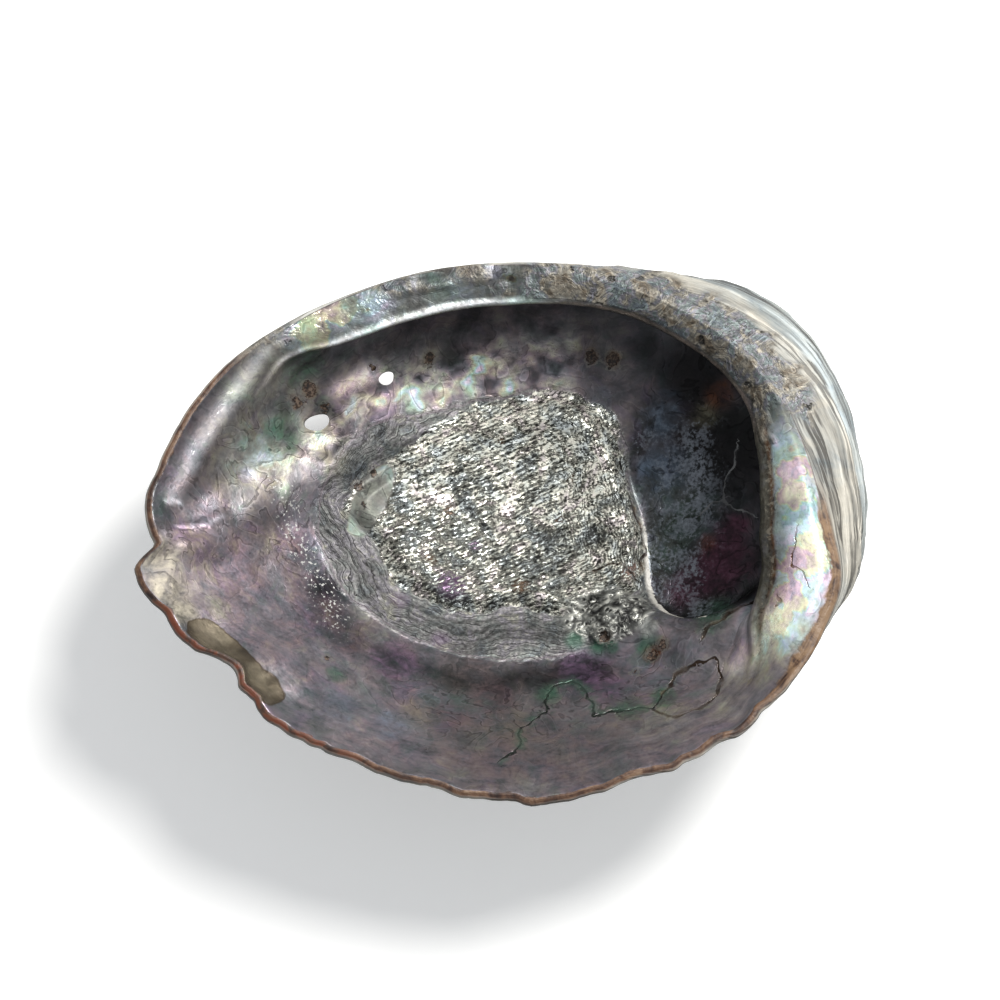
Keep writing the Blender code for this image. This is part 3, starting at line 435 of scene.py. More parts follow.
def outline_gap(x, y, centre, radius_table):
    """Distance in from an outline given by angle and radius."""
    angle = np.degrees(np.arctan2(y - centre[1], x - centre[0]))
    return keyed(angle, radius_table) - np.hypot(x - centre[0], y - centre[1])


def inside(x, y, centre, radius_table, soft):
    """1 inside an outline given by angle and radius, 0 outside, over a soft edge."""
    return smooth_step(outline_gap(x, y, centre, radius_table), -0.5 * soft, 0.5 * soft)


def bump(gap, half_width):
    """A rounded hump across a line or a spot."""
    return np.exp(-(gap / half_width) ** 2)


def grain(points, size, seed=0):
    """Gradient noise from -1 to 1 with features of the given size, or size per axis."""
    place = np.asarray(points) / np.asarray(size) + 17.3 * seed
    cell = np.floor(place).astype(np.int64)
    part = place - cell
    fade = part * part * part * (part * (part * 6.0 - 15.0) + 10.0)
    total = np.zeros(len(place))
    for corner in range(8):
        step = np.array((corner & 1, corner >> 1 & 1, corner >> 2 & 1))
        key = (cell + step) @ np.array((73856093, 19349663, 83492791)) + 7919 * seed
        key = (key ^ (key >> 13)) * 1274126177 & 0x7FFFFFFF
        key = key ^ (key >> 16)
        slope = np.stack([(key >> shift & 255) / 127.5 - 1.0 for shift in (0, 8, 16)], axis=1)
        weight = np.prod(np.where(step == 1, fade, 1.0 - fade), axis=1)
        total += weight * (slope * (part - step)).sum(axis=1)
    return np.clip(1.4 * total, -1.0, 1.0)


def layered_grain(points, size, octaves, seed=0):
    """Noise with finer and fainter layers on top."""
    total, weight = 0.0, 1.0
    for octave in range(octaves):
        total = total + weight * grain(points, np.asarray(size) / 2.0 ** octave, seed + octave)
        weight *= 0.5
    return total


def path_gap(x, y, path):
    """Distance in plan from a path of straight runs."""
    gap = np.full(np.shape(x), np.inf)
    for start, end in zip(np.array(path[:-1]), np.array(path[1:])):
        run = end - start
        part = ((x - start[0]) * run[0] + (y - start[1]) * run[1]) / run.dot(run)
        part = np.clip(part, 0.0, 1.0)
        gap = np.minimum(gap, np.hypot(x - start[0] - part * run[0], y - start[1] - part * run[1]))
    return gap


def path_side(x, y, path):
    """Distance in plan from a path, positive on its left and negative on its right."""
    gap = np.full(np.shape(x), np.inf)
    side = np.ones(np.shape(x))
    for start, end in zip(np.array(path[:-1]), np.array(path[1:])):
        reach = path_gap(x, y, (start, end))
        run = end - start
        turn = np.sign(run[0] * (y - start[1]) - run[1] * (x - start[0]))
        side = np.where(reach < gap, turn, side)
        gap = np.minimum(gap, reach)
    return gap * side


def lip_point(angle):
    """Plan position and height of the lip's outer edge."""
    radius = keyed(angle, LIP_RADIUS)
    turn = np.radians(angle)
    x = OUTLINE_CENTRE[0] + radius * np.cos(turn)
    y = OUTLINE_CENTRE[1] + radius * np.sin(turn)
    return x, y, keyed(angle, LIP_HEIGHT) + WORN_FOOT


def lip_lobes(angle):
    """How far the lip stands out of its smooth outline."""
    reach = np.zeros(len(angle))
    for centre, half_width, height in LIP_LOBES + LIP_NICKS:
        reach += height * np.exp(-((angle - centre) / half_width) ** 2)
    turn = np.radians(angle)
    place = np.stack((0.09 * np.cos(turn), 0.09 * np.sin(turn), 0.0 * turn), axis=1)
    ragged = RAGGED[0] * layered_grain(place, RAGGED[1], 3, 3)
    grown = window(angle, (150.0, 170.0), (330.0, 350.0))
    return reach + ragged * (0.25 + 0.75 * grown)


def resample(x, y, shares):
    """Points at the given shares of each polyline's length."""
    reach = np.hypot(np.diff(x, axis=1), np.diff(y, axis=1)).cumsum(axis=1)
    reach = np.concatenate((np.zeros((len(x), 1)), reach), axis=1)
    reach = reach / reach[:, -1:]
    out_x = [np.interp(shares, reach[row], x[row]) for row in range(len(x))]
    out_y = [np.interp(shares, reach[row], y[row]) for row in range(len(x))]
    return np.array(out_x), np.array(out_y)


def outer_profile(angle):
    """Outer face along each meridian: distance from the keel and height, evenly spaced."""
    x, y, height = lip_point(angle)
    span = np.hypot(x - KEEL[0], y - KEEL[1])[:, None]
    share = np.sin(np.linspace(0.0, 0.5 * np.pi, PROFILE_STEPS))[None, :]
    power = keyed(angle, RISE_POWER)[:, None]
    round_share = keyed(angle, ROUND_SHARE)[:, None]
    rise = (1.0 - round_share) * share ** power
    rise = rise + round_share * (1.0 - np.sqrt(1.0 - share * share))
    swell = 4.0 * rise ** BULGE_POWER * (1.0 - rise ** BULGE_POWER)
    along = span * share + keyed(angle, BULGE)[:, None] * swell
    along = along + lip_lobes(angle)[:, None] * share ** LOBE_DEPTH
    return resample(along, height[:, None] * rise, np.linspace(0.0, 1.0, PROFILE_STEPS))


def wall_thickness(x, y, share):
    """Wall thickness over the plan; share is 0 at the keel and 1 at the lip."""
    chamber = inside(x, y, CHAMBER_CENTRE, CHAMBER_RADIUS, 0.006)
    layered = inside(x, y, SCAR_CENTRE, LAYERED_RADIUS, 0.006)
    scar = inside(x, y, SCAR_CENTRE, SCAR_RADIUS, 0.005)
    bridge = 1.0 - smooth_step(path_gap(x, y, BRIDGE), 0.1 * BRIDGE_REACH, BRIDGE_REACH)
    ledge = smooth_step(x, 0.010, 0.036) * scar
    rise = LAYERED_RISE * layered + SCAR_RISE * scar + LEDGE_RISE * ledge
    rise = np.maximum(rise, (LAYERED_RISE + SCAR_RISE + LEDGE_RISE) * bridge)
    wall = WALL + (LIP_WALL - WALL) * smooth_step(share, 0.8, 1.0)
    return wall + (CHAMBER_WALL - WALL) * chamber + rise * (1.0 - chamber)


def inner_profile(angle):
    """Inner face along each meridian, from the keel's top out to the lip."""
    x, y, height = lip_point(angle)
    span = np.hypot(x - KEEL[0], y - KEEL[1])
    toward = np.stack(((x - KEEL[0]) / span, (y - KEEL[1]) / span))
    along, up = outer_profile(angle)
    share = np.linspace(0.0, 1.0, along.shape[1])[None, :]
    run = np.gradient(along, axis=1)
    climb = np.gradient(up, axis=1)
    length = np.hypot(run, climb)
    plan_x = KEEL[0] + along * toward[0][:, None]
    plan_y = KEEL[1] + along * toward[1][:, None]
    thick = wall_thickness(plan_x, plan_y, share)
    face_along = np.maximum(along - thick * climb / length, 0.0)
    face_up = np.maximum(up, WORN_FOOT) + thick * run / length

    grown = keyed(angle, SHELF_GROWTH)[:, None]
    grid = np.linspace(0.0, 1.0, along.shape[1])
    floor_end = FLOOR_END[0] + grown * (FLOOR_END[1] - FLOOR_END[0])
    floor = floor_end * np.linspace(0.0, 1.0, FLOOR_SAMPLES)[None, :]
    picks = np.concatenate((floor, np.tile(EDGE_SHARES, (len(angle), 1))), axis=1)
    point_along = np.array([np.interp(p, grid, row) for p, row in zip(picks, face_along)])
    point_up = np.array([np.interp(p, grid, row) for p, row in zip(picks, face_up)])

    width = keyed(angle, SHELF_WIDTH)
    drop = keyed(angle, SHELF_DROP)
    crown = keyed(angle, SHELF_CROWN)
    under = height - drop - SHELF_PLATE - 0.0046
    wall_along = np.array([np.interp(u, h, a) for u, h, a in zip(under, face_up, face_along)])
    nose = span - width
    tuck = np.maximum(wall_along - nose, 0.0)
    shelf_along = np.stack((
        nose + tuck, nose + 0.62 * tuck, nose + 0.0011, nose, nose + 0.10 * width,
        span - 0.62 * width, span - 0.30 * width, span - 0.0016), axis=1)
    shelf_up = np.stack((
        under, height - drop - SHELF_PLATE - 0.0014, height - drop - SHELF_PLATE,
        height - drop - 0.5 * SHELF_PLATE, height - drop, height - 0.45 * drop + 0.6 * crown,
        height - 0.12 * drop + crown, height + 0.0002), axis=1)
    last = slice(FLOOR_SAMPLES, None)
    point_along[:, last] += grown * (shelf_along - point_along[:, last])
    point_up[:, last] += grown * (shelf_up - point_up[:, last])
    return point_along, point_up


def curve_through(points, finer):
    """Catmull-Rom samples through each row of points, keeping the points themselves."""
    before = np.concatenate((2.0 * points[:, :1] - points[:, 1:2], points[:, :-1]), axis=1)
    after = np.concatenate((points[:, 1:], 2.0 * points[:, -1:] - points[:, -2:-1]), axis=1)
    slope = 0.5 * (after - before)
    part = np.arange(finer) / finer
    rest = 1.0 - part
    low, high = points[:, :-1, None], points[:, 1:, None]
    fine = (rest * rest * (1.0 + 2.0 * part) * low + part * part * (3.0 - 2.0 * part) * high
            + part * rest * (rest * slope[:, :-1, None] - part * slope[:, 1:, None]))
    return np.concatenate((fine.reshape(len(points), -1), points[:, -1:]), axis=1)


def skin_rings(angle):
    """Distance from the keel and height of every ring, from the keel's underside to its top."""
    outer_along, outer_up = outer_profile(angle)
    shares = np.linspace(0.0, 1.0, OUTER_RINGS + 1)
    outer_along, outer_up = resample(outer_along, outer_up, shares)

    fine = 24
    floor_gap = 8
    point_along, point_up = inner_profile(angle)
    # The curve into the edge starts a few floor samples back, at the solid's own spacing
    lead = FLOOR_SAMPLES - 1 - floor_gap
    picks = [lead - floor_gap, lead, FLOOR_SAMPLES - 1]
    picks += list(range(FLOOR_SAMPLES, point_along.shape[1]))
    edge_along = curve_through(point_along[:, picks], fine)[:, 2 * fine:]
    edge_up = curve_through(point_up[:, picks], fine)[:, 2 * fine:]
    point_along = np.concatenate((point_along[:, :FLOOR_SAMPLES - 1], edge_along), axis=1)
    point_up = np.concatenate((point_up[:, :FLOOR_SAMPLES - 1], edge_up), axis=1)
    start = FLOOR_SAMPLES - 1
    marks = (0, start, start + fine, start + 4 * fine, start + 8 * fine)
    inner_along, inner_up = [], []
    for low, high, count in zip(marks[:-1], marks[1:], INNER_RINGS):
        part = np.linspace(0.0, 1.0, count + 1)
        piece = resample(point_along[:, low:high + 1], point_up[:, low:high + 1], part)
        skip = 0 if low == 0 else 1
        inner_along.append(piece[0][:, skip:])
        inner_up.append(piece[1][:, skip:])
    inner_along = np.concatenate(inner_along, axis=1)[:, ::-1]
    inner_up = np.concatenate(inner_up, axis=1)[:, ::-1]

    outer_end = np.stack((outer_along[:, -1], outer_up[:, -1]), axis=1)
    inner_end = np.stack((inner_along[:, 0], inner_up[:, 0]), axis=1)
    middle = 0.5 * (outer_end + inner_end)
    across = inner_end - outer_end
    push = LIP_ROUND * np.stack((across[:, 1], -across[:, 0]), axis=1)
    lip_along, lip_up = [], []
    for ring in range(1, LIP_RINGS):
        turn = np.pi * ring / LIP_RINGS
        point = middle - 0.5 * np.cos(turn) * across + 0.5 * np.sin(turn) * push
        lip_along.append(point[:, 0])
        lip_up.append(point[:, 1])
    along = np.concatenate((outer_along, np.stack(lip_along, axis=1), inner_along), axis=1)
    up = np.concatenate((outer_up, np.stack(lip_up, axis=1), inner_up), axis=1)
    return along, up


def soften_crest(angle, points):
    """Round off the crest between the shelf and the outer face."""
    low, high = OUTER_RINGS - 1, FIRST_INNER + 4
    weight = window(signed_angle(angle), (-30.0, -15.0), (115.0, 135.0))
    for _ in range(CREST_PASSES):
        sides = points[:, low - 1:high - 1] + points[:, low + 1:high + 1]
        middle = 0.25 * sides + 0.5 * points[:, low:high]
        points[:, low:high] += weight[:, None, None] * (middle - points[:, low:high])
    return points


def skin_grid():
    """Smooth skin as a grid of points, meridian by ring, and its outward normals."""
    angle = np.arange(MERIDIANS) * 360.0 / MERIDIANS
    x, y, _ = lip_point(angle)
    span = np.hypot(x - KEEL[0], y - KEEL[1])
    along, up = skin_rings(angle)
    points = np.empty(along.shape + (3,))
    points[..., 0] = KEEL[0] + along * ((x - KEEL[0]) / span)[:, None]
    points[..., 1] = KEEL[1] + along * ((y - KEEL[1]) / span)[:, None]
    points[..., 2] = np.maximum(up - WORN_FOOT, 0.0)
    points = soften_crest(angle, points)
    around = np.roll(points, -1, axis=0) - np.roll(points, 1, axis=0)
    outward = np.gradient(points, axis=1)
    normals = np.cross(around, outward)
    size = np.linalg.norm(normals, axis=2, keepdims=True)
    normals = normals / np.maximum(size, 1e-12)
    normals[:, 0] = (0.0, 0.0, -1.0)
    normals[:, -1] = (0.0, 0.0, 1.0)
    return angle, points, normals


def ring_counts(rings):
    """How many meridians each ring keeps: fewer towards the two poles."""
    counts = []
    floor_start = rings - 1 - INNER_RINGS[0]
    for ring in range(rings):
        if ring <= OUTER_RINGS:
            share = ring / OUTER_RINGS
            steps = 0 if ring == OUTER_RINGS else 1 if share > 0.42 else 2 if share > 0.2 else 3
        elif ring < max(FIRST_INNER, floor_start):
            steps = 0
        else:
            share = (rings - 1 - ring) / INNER_RINGS[0]
            steps = 0 if share > 0.48 else 1 if share > 0.24 else 2 if share > 0.1 else 3
        counts.append(MERIDIANS >> steps)
    counts[0] = counts[-1] = 1
    return counts


def band_faces(lower, upper):
    """Faces between two rings of vertex numbers, of equal count or one twice the other."""
    faces = []
    n, m = len(lower), len(upper)
    if n == 1:
        return [(lower[0], upper[(k + 1) % m], upper[k]) for k in range(m)]
    if m == 1:
        return [(lower[k], lower[(k + 1) % n], upper[0]) for k in range(n)]
    if n == m:
        return [(lower[k], lower[(k + 1) % n], upper[(k + 1) % n], upper[k]) for k in range(n)]
    if m == 2 * n:
        for k in range(n):
            a, b = lower[k], lower[(k + 1) % n]
            c, d, e = upper[2 * k], upper[2 * k + 1], upper[(2 * k + 2) % m]
            faces += [(a, d, c), (a, b, d), (b, e, d)]
        return faces
    for k in range(m):
        a, b, c = lower[2 * k], lower[2 * k + 1], lower[(2 * k + 2) % n]
        d, e = upper[k], upper[(k + 1) % m]
        faces += [(a, b, d), (b, e, d), (b, c, e)]
    return faces


def lip_about_apex():
    """Lip outline as plan angle and distance about the spire's tip, sorted by angle."""
    angle = np.linspace(0.0, 360.0, 721)[:-1]
    x, y, _ = lip_point(angle)
    turn = np.degrees(np.arctan2(y - APEX[1], x - APEX[0])) % 360.0
    order = np.argsort(turn)
    return turn[order], np.hypot(x - APEX[0], y - APEX[1])[order]


def growth_age(x, y):
    """Turn, in radians, since the lip stood at each plan place."""
    lip_turn, lip_reach = lip_about_apex()
    turn = np.degrees(np.arctan2(y - APEX[1], x - APEX[0]))
    reach = np.hypot(x - APEX[0], y - APEX[1])
    backs = np.arange(0.0, 5.0, AGE_STEP)
    last = np.zeros(x.shape)
    spare = np.zeros(x.shape)
    outside = np.ones(x.shape, bool)
    before = np.ones(x.shape)
    for back in backs:
        edge = np.interp((turn + np.degrees(back)) % 360.0, lip_turn, lip_reach, period=360.0)
        gap = np.exp(-SHRINK * back) * edge - reach
        still = outside & (gap > 0.0)
        crossed = outside & ~still & (back > 0.0)
        spare[crossed] = before[crossed] / (before[crossed] - gap[crossed])
        outside = still
        last[outside] = back
        before = np.where(outside, gap, before)
    return last + AGE_STEP * spare


def pore_row_reach(turn):
    """Distance of the pore row from the spire's tip at each turn."""
    return PORE_ROW_REACH * np.exp(-SHRINK * np.radians(PORE_ROW_ANGLE - turn))


def pore_row_gap(x, y):
    """Distance out from the pore row, and the turn along it, at each plan place."""
    turn = np.degrees(np.arctan2(y - APEX[1], x - APEX[0])) % 360.0
    reach = np.maximum(np.hypot(x - APEX[0], y - APEX[1]), 1e-4)
    gap = np.maximum(reach, SPIRE_BLANK) * np.log(reach / pore_row_reach(turn)) * np.cos(np.arctan(SHRINK))
    return gap, turn


def step_ledge(phase):
    """Overlapping layers: each swells towards its own edge and drops to the next."""
    return window(phase % 1.0, (0.0, 0.65), (0.65, 1.0)) - 0.5


class Skin:
    """The kept grid points, where each lies on the shell, and the masks of its regions."""

    def __init__(self):
        angle, points, normals = skin_grid()
        steps = np.linalg.norm(np.diff(points, axis=1), axis=2).cumsum(axis=1)
        length = np.concatenate((np.zeros((MERIDIANS, 1)), steps), axis=1)
        gap = length - length[:, FIRST_INNER:FIRST_INNER + 1]
        picks, rows, start = [], [], 0
        for ring, count in enumerate(ring_counts(points.shape[1])):
            chosen = np.arange(0, MERIDIANS, MERIDIANS // count)[:count]
            picks.append(np.stack((chosen, np.full(count, ring)), axis=1))
            rows.append(list(range(start, start + count)))
            start += count
        self.faces = []
        for lower, upper in zip(rows[:-1], rows[1:]):
            self.faces += band_faces(lower, upper)
        meridian, self.ring = np.concatenate(picks).T
        self.angle = angle[meridian]
        self.points = points[meridian, self.ring]
        self.normals = normals[meridian, self.ring]
        self.edge_gap = gap[meridian, self.ring]
        self.nose_gap = self.edge_gap - gap[meridian, NOSE_RING]
        self.share = np.minimum(self.ring / OUTER_RINGS, 1.0)
        self.x, self.y, self.up = self.points.T
        self.row_gap, self.row_turn = pore_row_gap(self.x, self.y)
        self.find_regions()
        self.find_marks()

    def away(self, place):
        """Distance in plan from a place given in millimetres."""
        return np.hypot(self.x - place[0] / 1000.0, self.y - place[1] / 1000.0)

    def spot(self, place):
        """Soft spot, its plan place and radius in millimetres."""
        return bump(self.away(place), place[2] / 1000.0)

    def line(self, path, half_width):
        """Soft line along a path, both in millimetres."""
        return bump(path_gap(self.x, self.y, metres(path)), half_width / 1000.0)

    def noise(self, size, octaves, seed):
        return layered_grain(self.points, size, octaves, seed)

    def top_side(self, start, end):
        """1 between two plan angles, 0 elsewhere."""
        return window(self.angle, (start, start + 10.0), (end - 10.0, end))

    def find_regions(self):
        """Inner face, shelf, floor, chamber, scar, terraces and the bare patch beside them."""
        x, y = self.x, self.y
        inner = self.ring >= FIRST_INNER
        self.inner = inner.astype(float)
        self.grown = np.clip(keyed(self.angle, SHELF_GROWTH), 0.0, 1.0) * self.inner
        self.shelf = smooth_step(NOSE_RING - self.ring, -1.0, 2.0) * self.grown
        self.below = 1.0 - self.shelf
        self.floor = (inner & (self.shelf < 0.5)).astype(float)
        wobble = 0.0016 * self.noise(0.008, 3, 5)
        self.scar_gap = outline_gap(x, y, SCAR_CENTRE, SCAR_RADIUS) + wobble
        self.scar_gap += 0.0024 * smooth_step(y, 0.034, 0.046)
        self.layer_gap = outline_gap(x, y, SCAR_CENTRE, LAYERED_RADIUS) + 0.6 * wobble
        self.chamber_gap = outline_gap(x, y, CHAMBER_CENTRE, CHAMBER_RADIUS)
        middle, turn, half_length, half_width = CLEAN_PATCH
        along, across = along_across(x, y, middle, turn)
        reach = np.hypot(along / half_length, across / half_width)
        clean = 1.0 - smooth_step(reach + 60.0 * wobble, 0.85, 1.05)
        rough = self.floor * (1.0 - smooth_step(self.chamber_gap, -0.0012, 0.0008)) * (1.0 - clean)
        self.scar = smooth_step(self.scar_gap, -0.0006, 0.0010) * rough
        self.layers = smooth_step(self.layer_gap, -0.0018, -0.0006) * rough
        self.clean = clean * self.floor
        self.chamber = smooth_step(self.chamber_gap, -0.0008, 0.0012) * self.floor

    def find_marks(self):
        """Soft noises, and the masks of the nacre's painted highlights and painted shade and of its other
        marks.
        """
        self.wide = self.noise(0.026, 3, 40)
        self.soft = self.noise(0.008, 3, 41)
        self.small = self.noise(0.0045, 2, 49)
        high = smooth_step(self.up, 0.044, 0.049)
        # Painted highlights on the ridge (weaker at the glare spot and near the pores), the left streak,
        # the right band, the shelf's start and the leaf, and painted shade beside the streak
        self.glare = self.spot(GLARE) * self.below
        self.ridge = self.line(RIDGE_PATH, 6.0) * self.below
        self.ridge *= np.clip(0.58 + 1.15 * self.soft, 0.0, 1.5)
        self.ridge *= (1.0 - 0.6 * self.spot(PORE_SHADE)) * (1.0 - 0.6 * self.glare)
        self.streak = self.line(LEFT_STREAK, 1.9) * high
        self.beside = self.line(LEFT_STREAK, 8.5) * high
        self.upper = smooth_step(self.y + 0.004 * self.soft + 0.002 * self.small, 0.0010, 0.0022)
        self.band = self.line(BAND_PATH, 8.5) * self.shelf * (1.0 - 0.55 * self.upper)
        self.shimmer = self.line(SHIMMER_PATH, 5.0) * (0.4 + 0.6 * self.shelf) * high
        self.leaf = self.line(LEAF, 1.9) * self.below
        # Painted light that lifts the shade at the shelf's end
        self.shelf_end_light = self.line(SHELF_END_LIGHT, 3.2)
        self.nose = bump(self.nose_gap + 0.0014, 0.0010) * self.grown
        # Painted highlight along the shelf's nose
        self.nose_highlight = self.nose * smooth_step(self.angle, 60.0, 88.0) * (self.angle < 200.0)
        # Painted shade on the crest dims its highlight
        self.crest = bump(self.edge_gap - 0.0015, 0.0045) * smooth_step(self.x, 0.050, 0.060)
        self.lobe = self.spot(LIP_CORNER) * self.below
        self.near_lip = bump(self.edge_gap - 0.012, 0.011) * self.below * (self.angle > 200.0)
        self.right_end = 1.0 - smooth_step(self.angle, 20.0, 32.0) + (self.angle > 200.0)

    def paint(self):
        """Values that the materials read at each point."""
        self.paint_tones()
        self.paint_gloss()
        self.paint_wear()
        self.paint_cracks()
        self.wash = self.stain()

    def paint_tones(self):
        """Brightness, depth of colour and hue of the nacre, with its painted highlights and painted shade.
        """
        soft, small, shelf, below = self.soft, self.small, self.shelf, self.below
        value = 0.150 * (1.0 + 0.22 * self.wide + 0.30 * soft)
        tint = 0.42 + 0.30 * self.noise(0.013, 3, 44)
        hue = 0.03 + 0.26 * self.wide + 0.13 * soft
        hue += shelf * (0.74 + 0.12 * soft - hue)
        for *place, brighter, deeper, shift in BLOTCHES:
            share = self.spot(place) * below
            value += brighter * share
            tint += deeper * share
            hue += shift * share
        colourful = self.ridge + 0.9 * self.band + 0.8 * self.shimmer
        hue += colourful * (0.45 + 0.35 * soft + 0.35 * small)
        # Painted highlights on the ridge, the left streak, the right band, the shelf's start and the leaf
        value += 0.60 * self.ridge + 0.38 * self.streak + 1.30 * np.minimum(self.band, 0.74)
        value += 0.22 * self.shimmer + 0.75 * self.leaf
        # Painted shade beside the left streak; the middle of the shelf's top is darker
        value -= 0.052 * self.beside + 0.062 * shelf * self.top_side(68.0, 122.0)
        # Painted highlight along the notch's crease
        value += 0.08 * bump(path_gap(self.x, self.y, NOTCH_CREASE), 0.0011) * below
        # The bare patch gets an even tone, with painted light where its slope faces away from the key
        # light
        bare = 0.20 + 0.30 * np.clip(-0.05 - self.normals[:, 0], 0.0, 0.5)
        value += self.clean * (bare - value)
        hue += self.clean * (0.60 - hue)
        # Painted light that lifts the shade at the shelf's end, and painted glints
        value += 0.24 * self.shelf_end_light
        for path in GLINTS:
            value += 0.60 * self.line(path, 0.6)
        tint += 0.30 * self.ridge + 0.42 * self.band + 0.50 * self.shimmer + 0.3 * self.leaf
        tint -= 0.15 * self.streak
        for *place, brighter, deeper, kept_hue in SHELF_SPOTS:
            share = smooth_step(self.spot(place) + 0.35 * soft + 0.45 * small, 0.30, 0.42) * shelf
            value += brighter * share
            tint += deeper * share
            hue += share * (kept_hue - hue)
        # Painted shade below the scar, under the shelf and in the chamber
        band_shade = self.line(DARK_BAND, 6.0) * (1.0 - 0.55 * self.spot(BAND_PALE))
        value -= 0.098 * self.painted_shade() + 0.102 * band_shade * below
        # Painted highlight along the shelf's nose
        value += 0.70 * self.nose_highlight
        tint -= 0.25 * self.nose
        # Painted shade along the crest dims its highlight
        self.value = np.clip(value * (1.0 - 0.50 * self.crest), 0.02, 1.0)
        self.tint = np.clip(tint, 0.05, 1.0)
        self.hue = hue

    def painted_shade(self):
        """Painted shade under the shelf and in the chamber."""
        dark = self.line(UNDER_SHELF, 11.0) * self.below * (1.0 - 0.55 * self.spot(SHELF_START))
        soften = 0.008 * smooth_step(self.y, 0.012, 0.032)
        shade = smooth_step(self.chamber_gap, -0.0008 - soften, 0.0012 + soften) * self.floor
        dark = np.maximum(dark, 0.9 * shade) + 0.3 * shade * smooth_step(self.y, 0.020, 0.045)
        return dark + 0.12 * shade * smooth_step(self.x, 0.050, 0.070)

    def paint_gloss(self):
        """Gloss, metal look, fine relief and worn plates of the nacre."""
        marks = self.ridge + self.band + self.streak + self.shimmer + self.leaf
        shiny = np.clip(marks, 0.0, 1.0)
        rough = 0.37 - 0.16 * shiny + 0.30 * self.lobe + 0.16 * self.spot(PORE_COLLAR) * self.below
        rough += 0.20 * self.glare + 0.10 * self.shelf * self.upper * (self.x > 0.04)
        self.rough = rough + 0.25 * self.crest + 0.15 * self.clean
        plain = 0.6 * self.ridge + 0.75 * self.band + 0.6 * self.shimmer + 0.6 * self.streak
        plain = np.clip(plain, 0.0, 0.7)
        plain = np.maximum(plain, 0.8 * np.maximum(self.nose_highlight, self.crest))
        metal = 0.66 * (1.0 - 0.8 * self.lobe) * (1.0 + 0.3 * self.chamber) * (1.0 - plain)
        self.metal = metal * (1.0 - 0.6 * self.clean) * (1.0 - 0.5 * self.shelf_end_light)
        bumpy = 0.35 + self.ridge + 0.5 * self.shimmer + 0.5 * self.chamber
        self.bumpy = np.clip(bumpy, 0.0, 1.2)
        self.streaky = np.clip(0.15 + 0.9 * self.near_lip + 1.3 * self.ridge, 0.0, 1.5)
        crinkle = 1.2 * self.shimmer + 0.6 * self.band + self.streak + self.nose
        self.crinkle = np.clip(crinkle, 0.0, 1.0)
        near_row = bump(self.row_gap + 0.004, 0.011) * smooth_step(self.row_turn, 118.0, 140.0)
        near_row *= smooth_step(self.edge_gap, 0.0, 0.004)
        outer_shelf = self.shelf * smooth_step(0.006 - self.edge_gap, 0.0, 0.004)
        low = bump(np.hypot(self.x + 0.006, 1.6 * (self.y + 0.050)), 0.026)
        worn = 0.35 + 0.9 * near_row + 0.8 * self.spot(WORN_LEFT) + 0.7 * self.spot(WORN_RIGHT)
        worn += 0.9 * self.clean + 0.6 * self.chamber + 0.7 * outer_shelf + 0.7 * low - 0.3 * shiny
        self.worn = np.clip(worn, 0.0, 1.0) * (1.0 - 0.65 * self.near_lip)

    def paint_wear(self):
        """Eroded top, horny edge, flecks, frost, blisters, the ledge's chalk and the seam."""
        x, y, gap, soft = self.x, self.y, self.edge_gap, self.soft
        top = smooth_step(self.angle + 8.0 * soft, 18.0, 23.0)
        top *= 1.0 - smooth_step(self.angle + 14.0 * soft, 76.0, 92.0)
        top *= 1.0 - smooth_step(gap - 0.0110 - 0.0035 * soft, 0.0, 0.0012)
        top *= smooth_step(gap, -0.0095 + 0.004 * soft, -0.0080 + 0.004 * soft)
        top *= 1.0 - smooth_step(self.nose_gap, -0.0022, -0.0012) * self.inner
        thin = smooth_step(0.25 + grain(self.points, 0.011, 43), 0.0, 0.5)
        thin *= window(gap, (-0.006, -0.003), (0.0035, 0.0065)) * self.top_side(18.0, 150.0)
        self.eroded = np.maximum(top, 0.75 * thin)
        self.rim = 1.0 - self.top_side(0.0, 150.0)
        self.tan = 2.6 * (1.0 - window(self.angle, (2.0, 8.0), (318.0, 336.0)))
        self.flecks = self.line(FLECK_PATH, 6.0) * self.below
        frost = 0.55 + 0.7 * self.noise(0.010, 2, 47)
        frost *= (1.0 - smooth_step(x, 0.056, 0.068)) * (1.0 - smooth_step(y, 0.036, 0.054))
        self.frost = np.clip(frost, 0.0, 1.0) * self.chamber
        self.blister = bump(np.hypot((x - 0.030) / 1.5, y + 0.0125), 0.0090) * self.floor
        half_width = 0.0007 + 0.0006 * bump(y + 0.0040, 0.0080)
        ledge = bump(self.chamber_gap - 0.0002 + 0.0004 * soft, half_width) * self.floor
        ledge *= (1.0 - smooth_step(y, 0.012, 0.026)) * (1.0 - smooth_step(x, 0.052, 0.062))
        self.ledge = ledge * np.clip(1.0 + self.small, 0.3, 1.0)
        self.seamy = bump(self.nose_gap + 0.0040, 0.0020) * self.grown * self.right_end

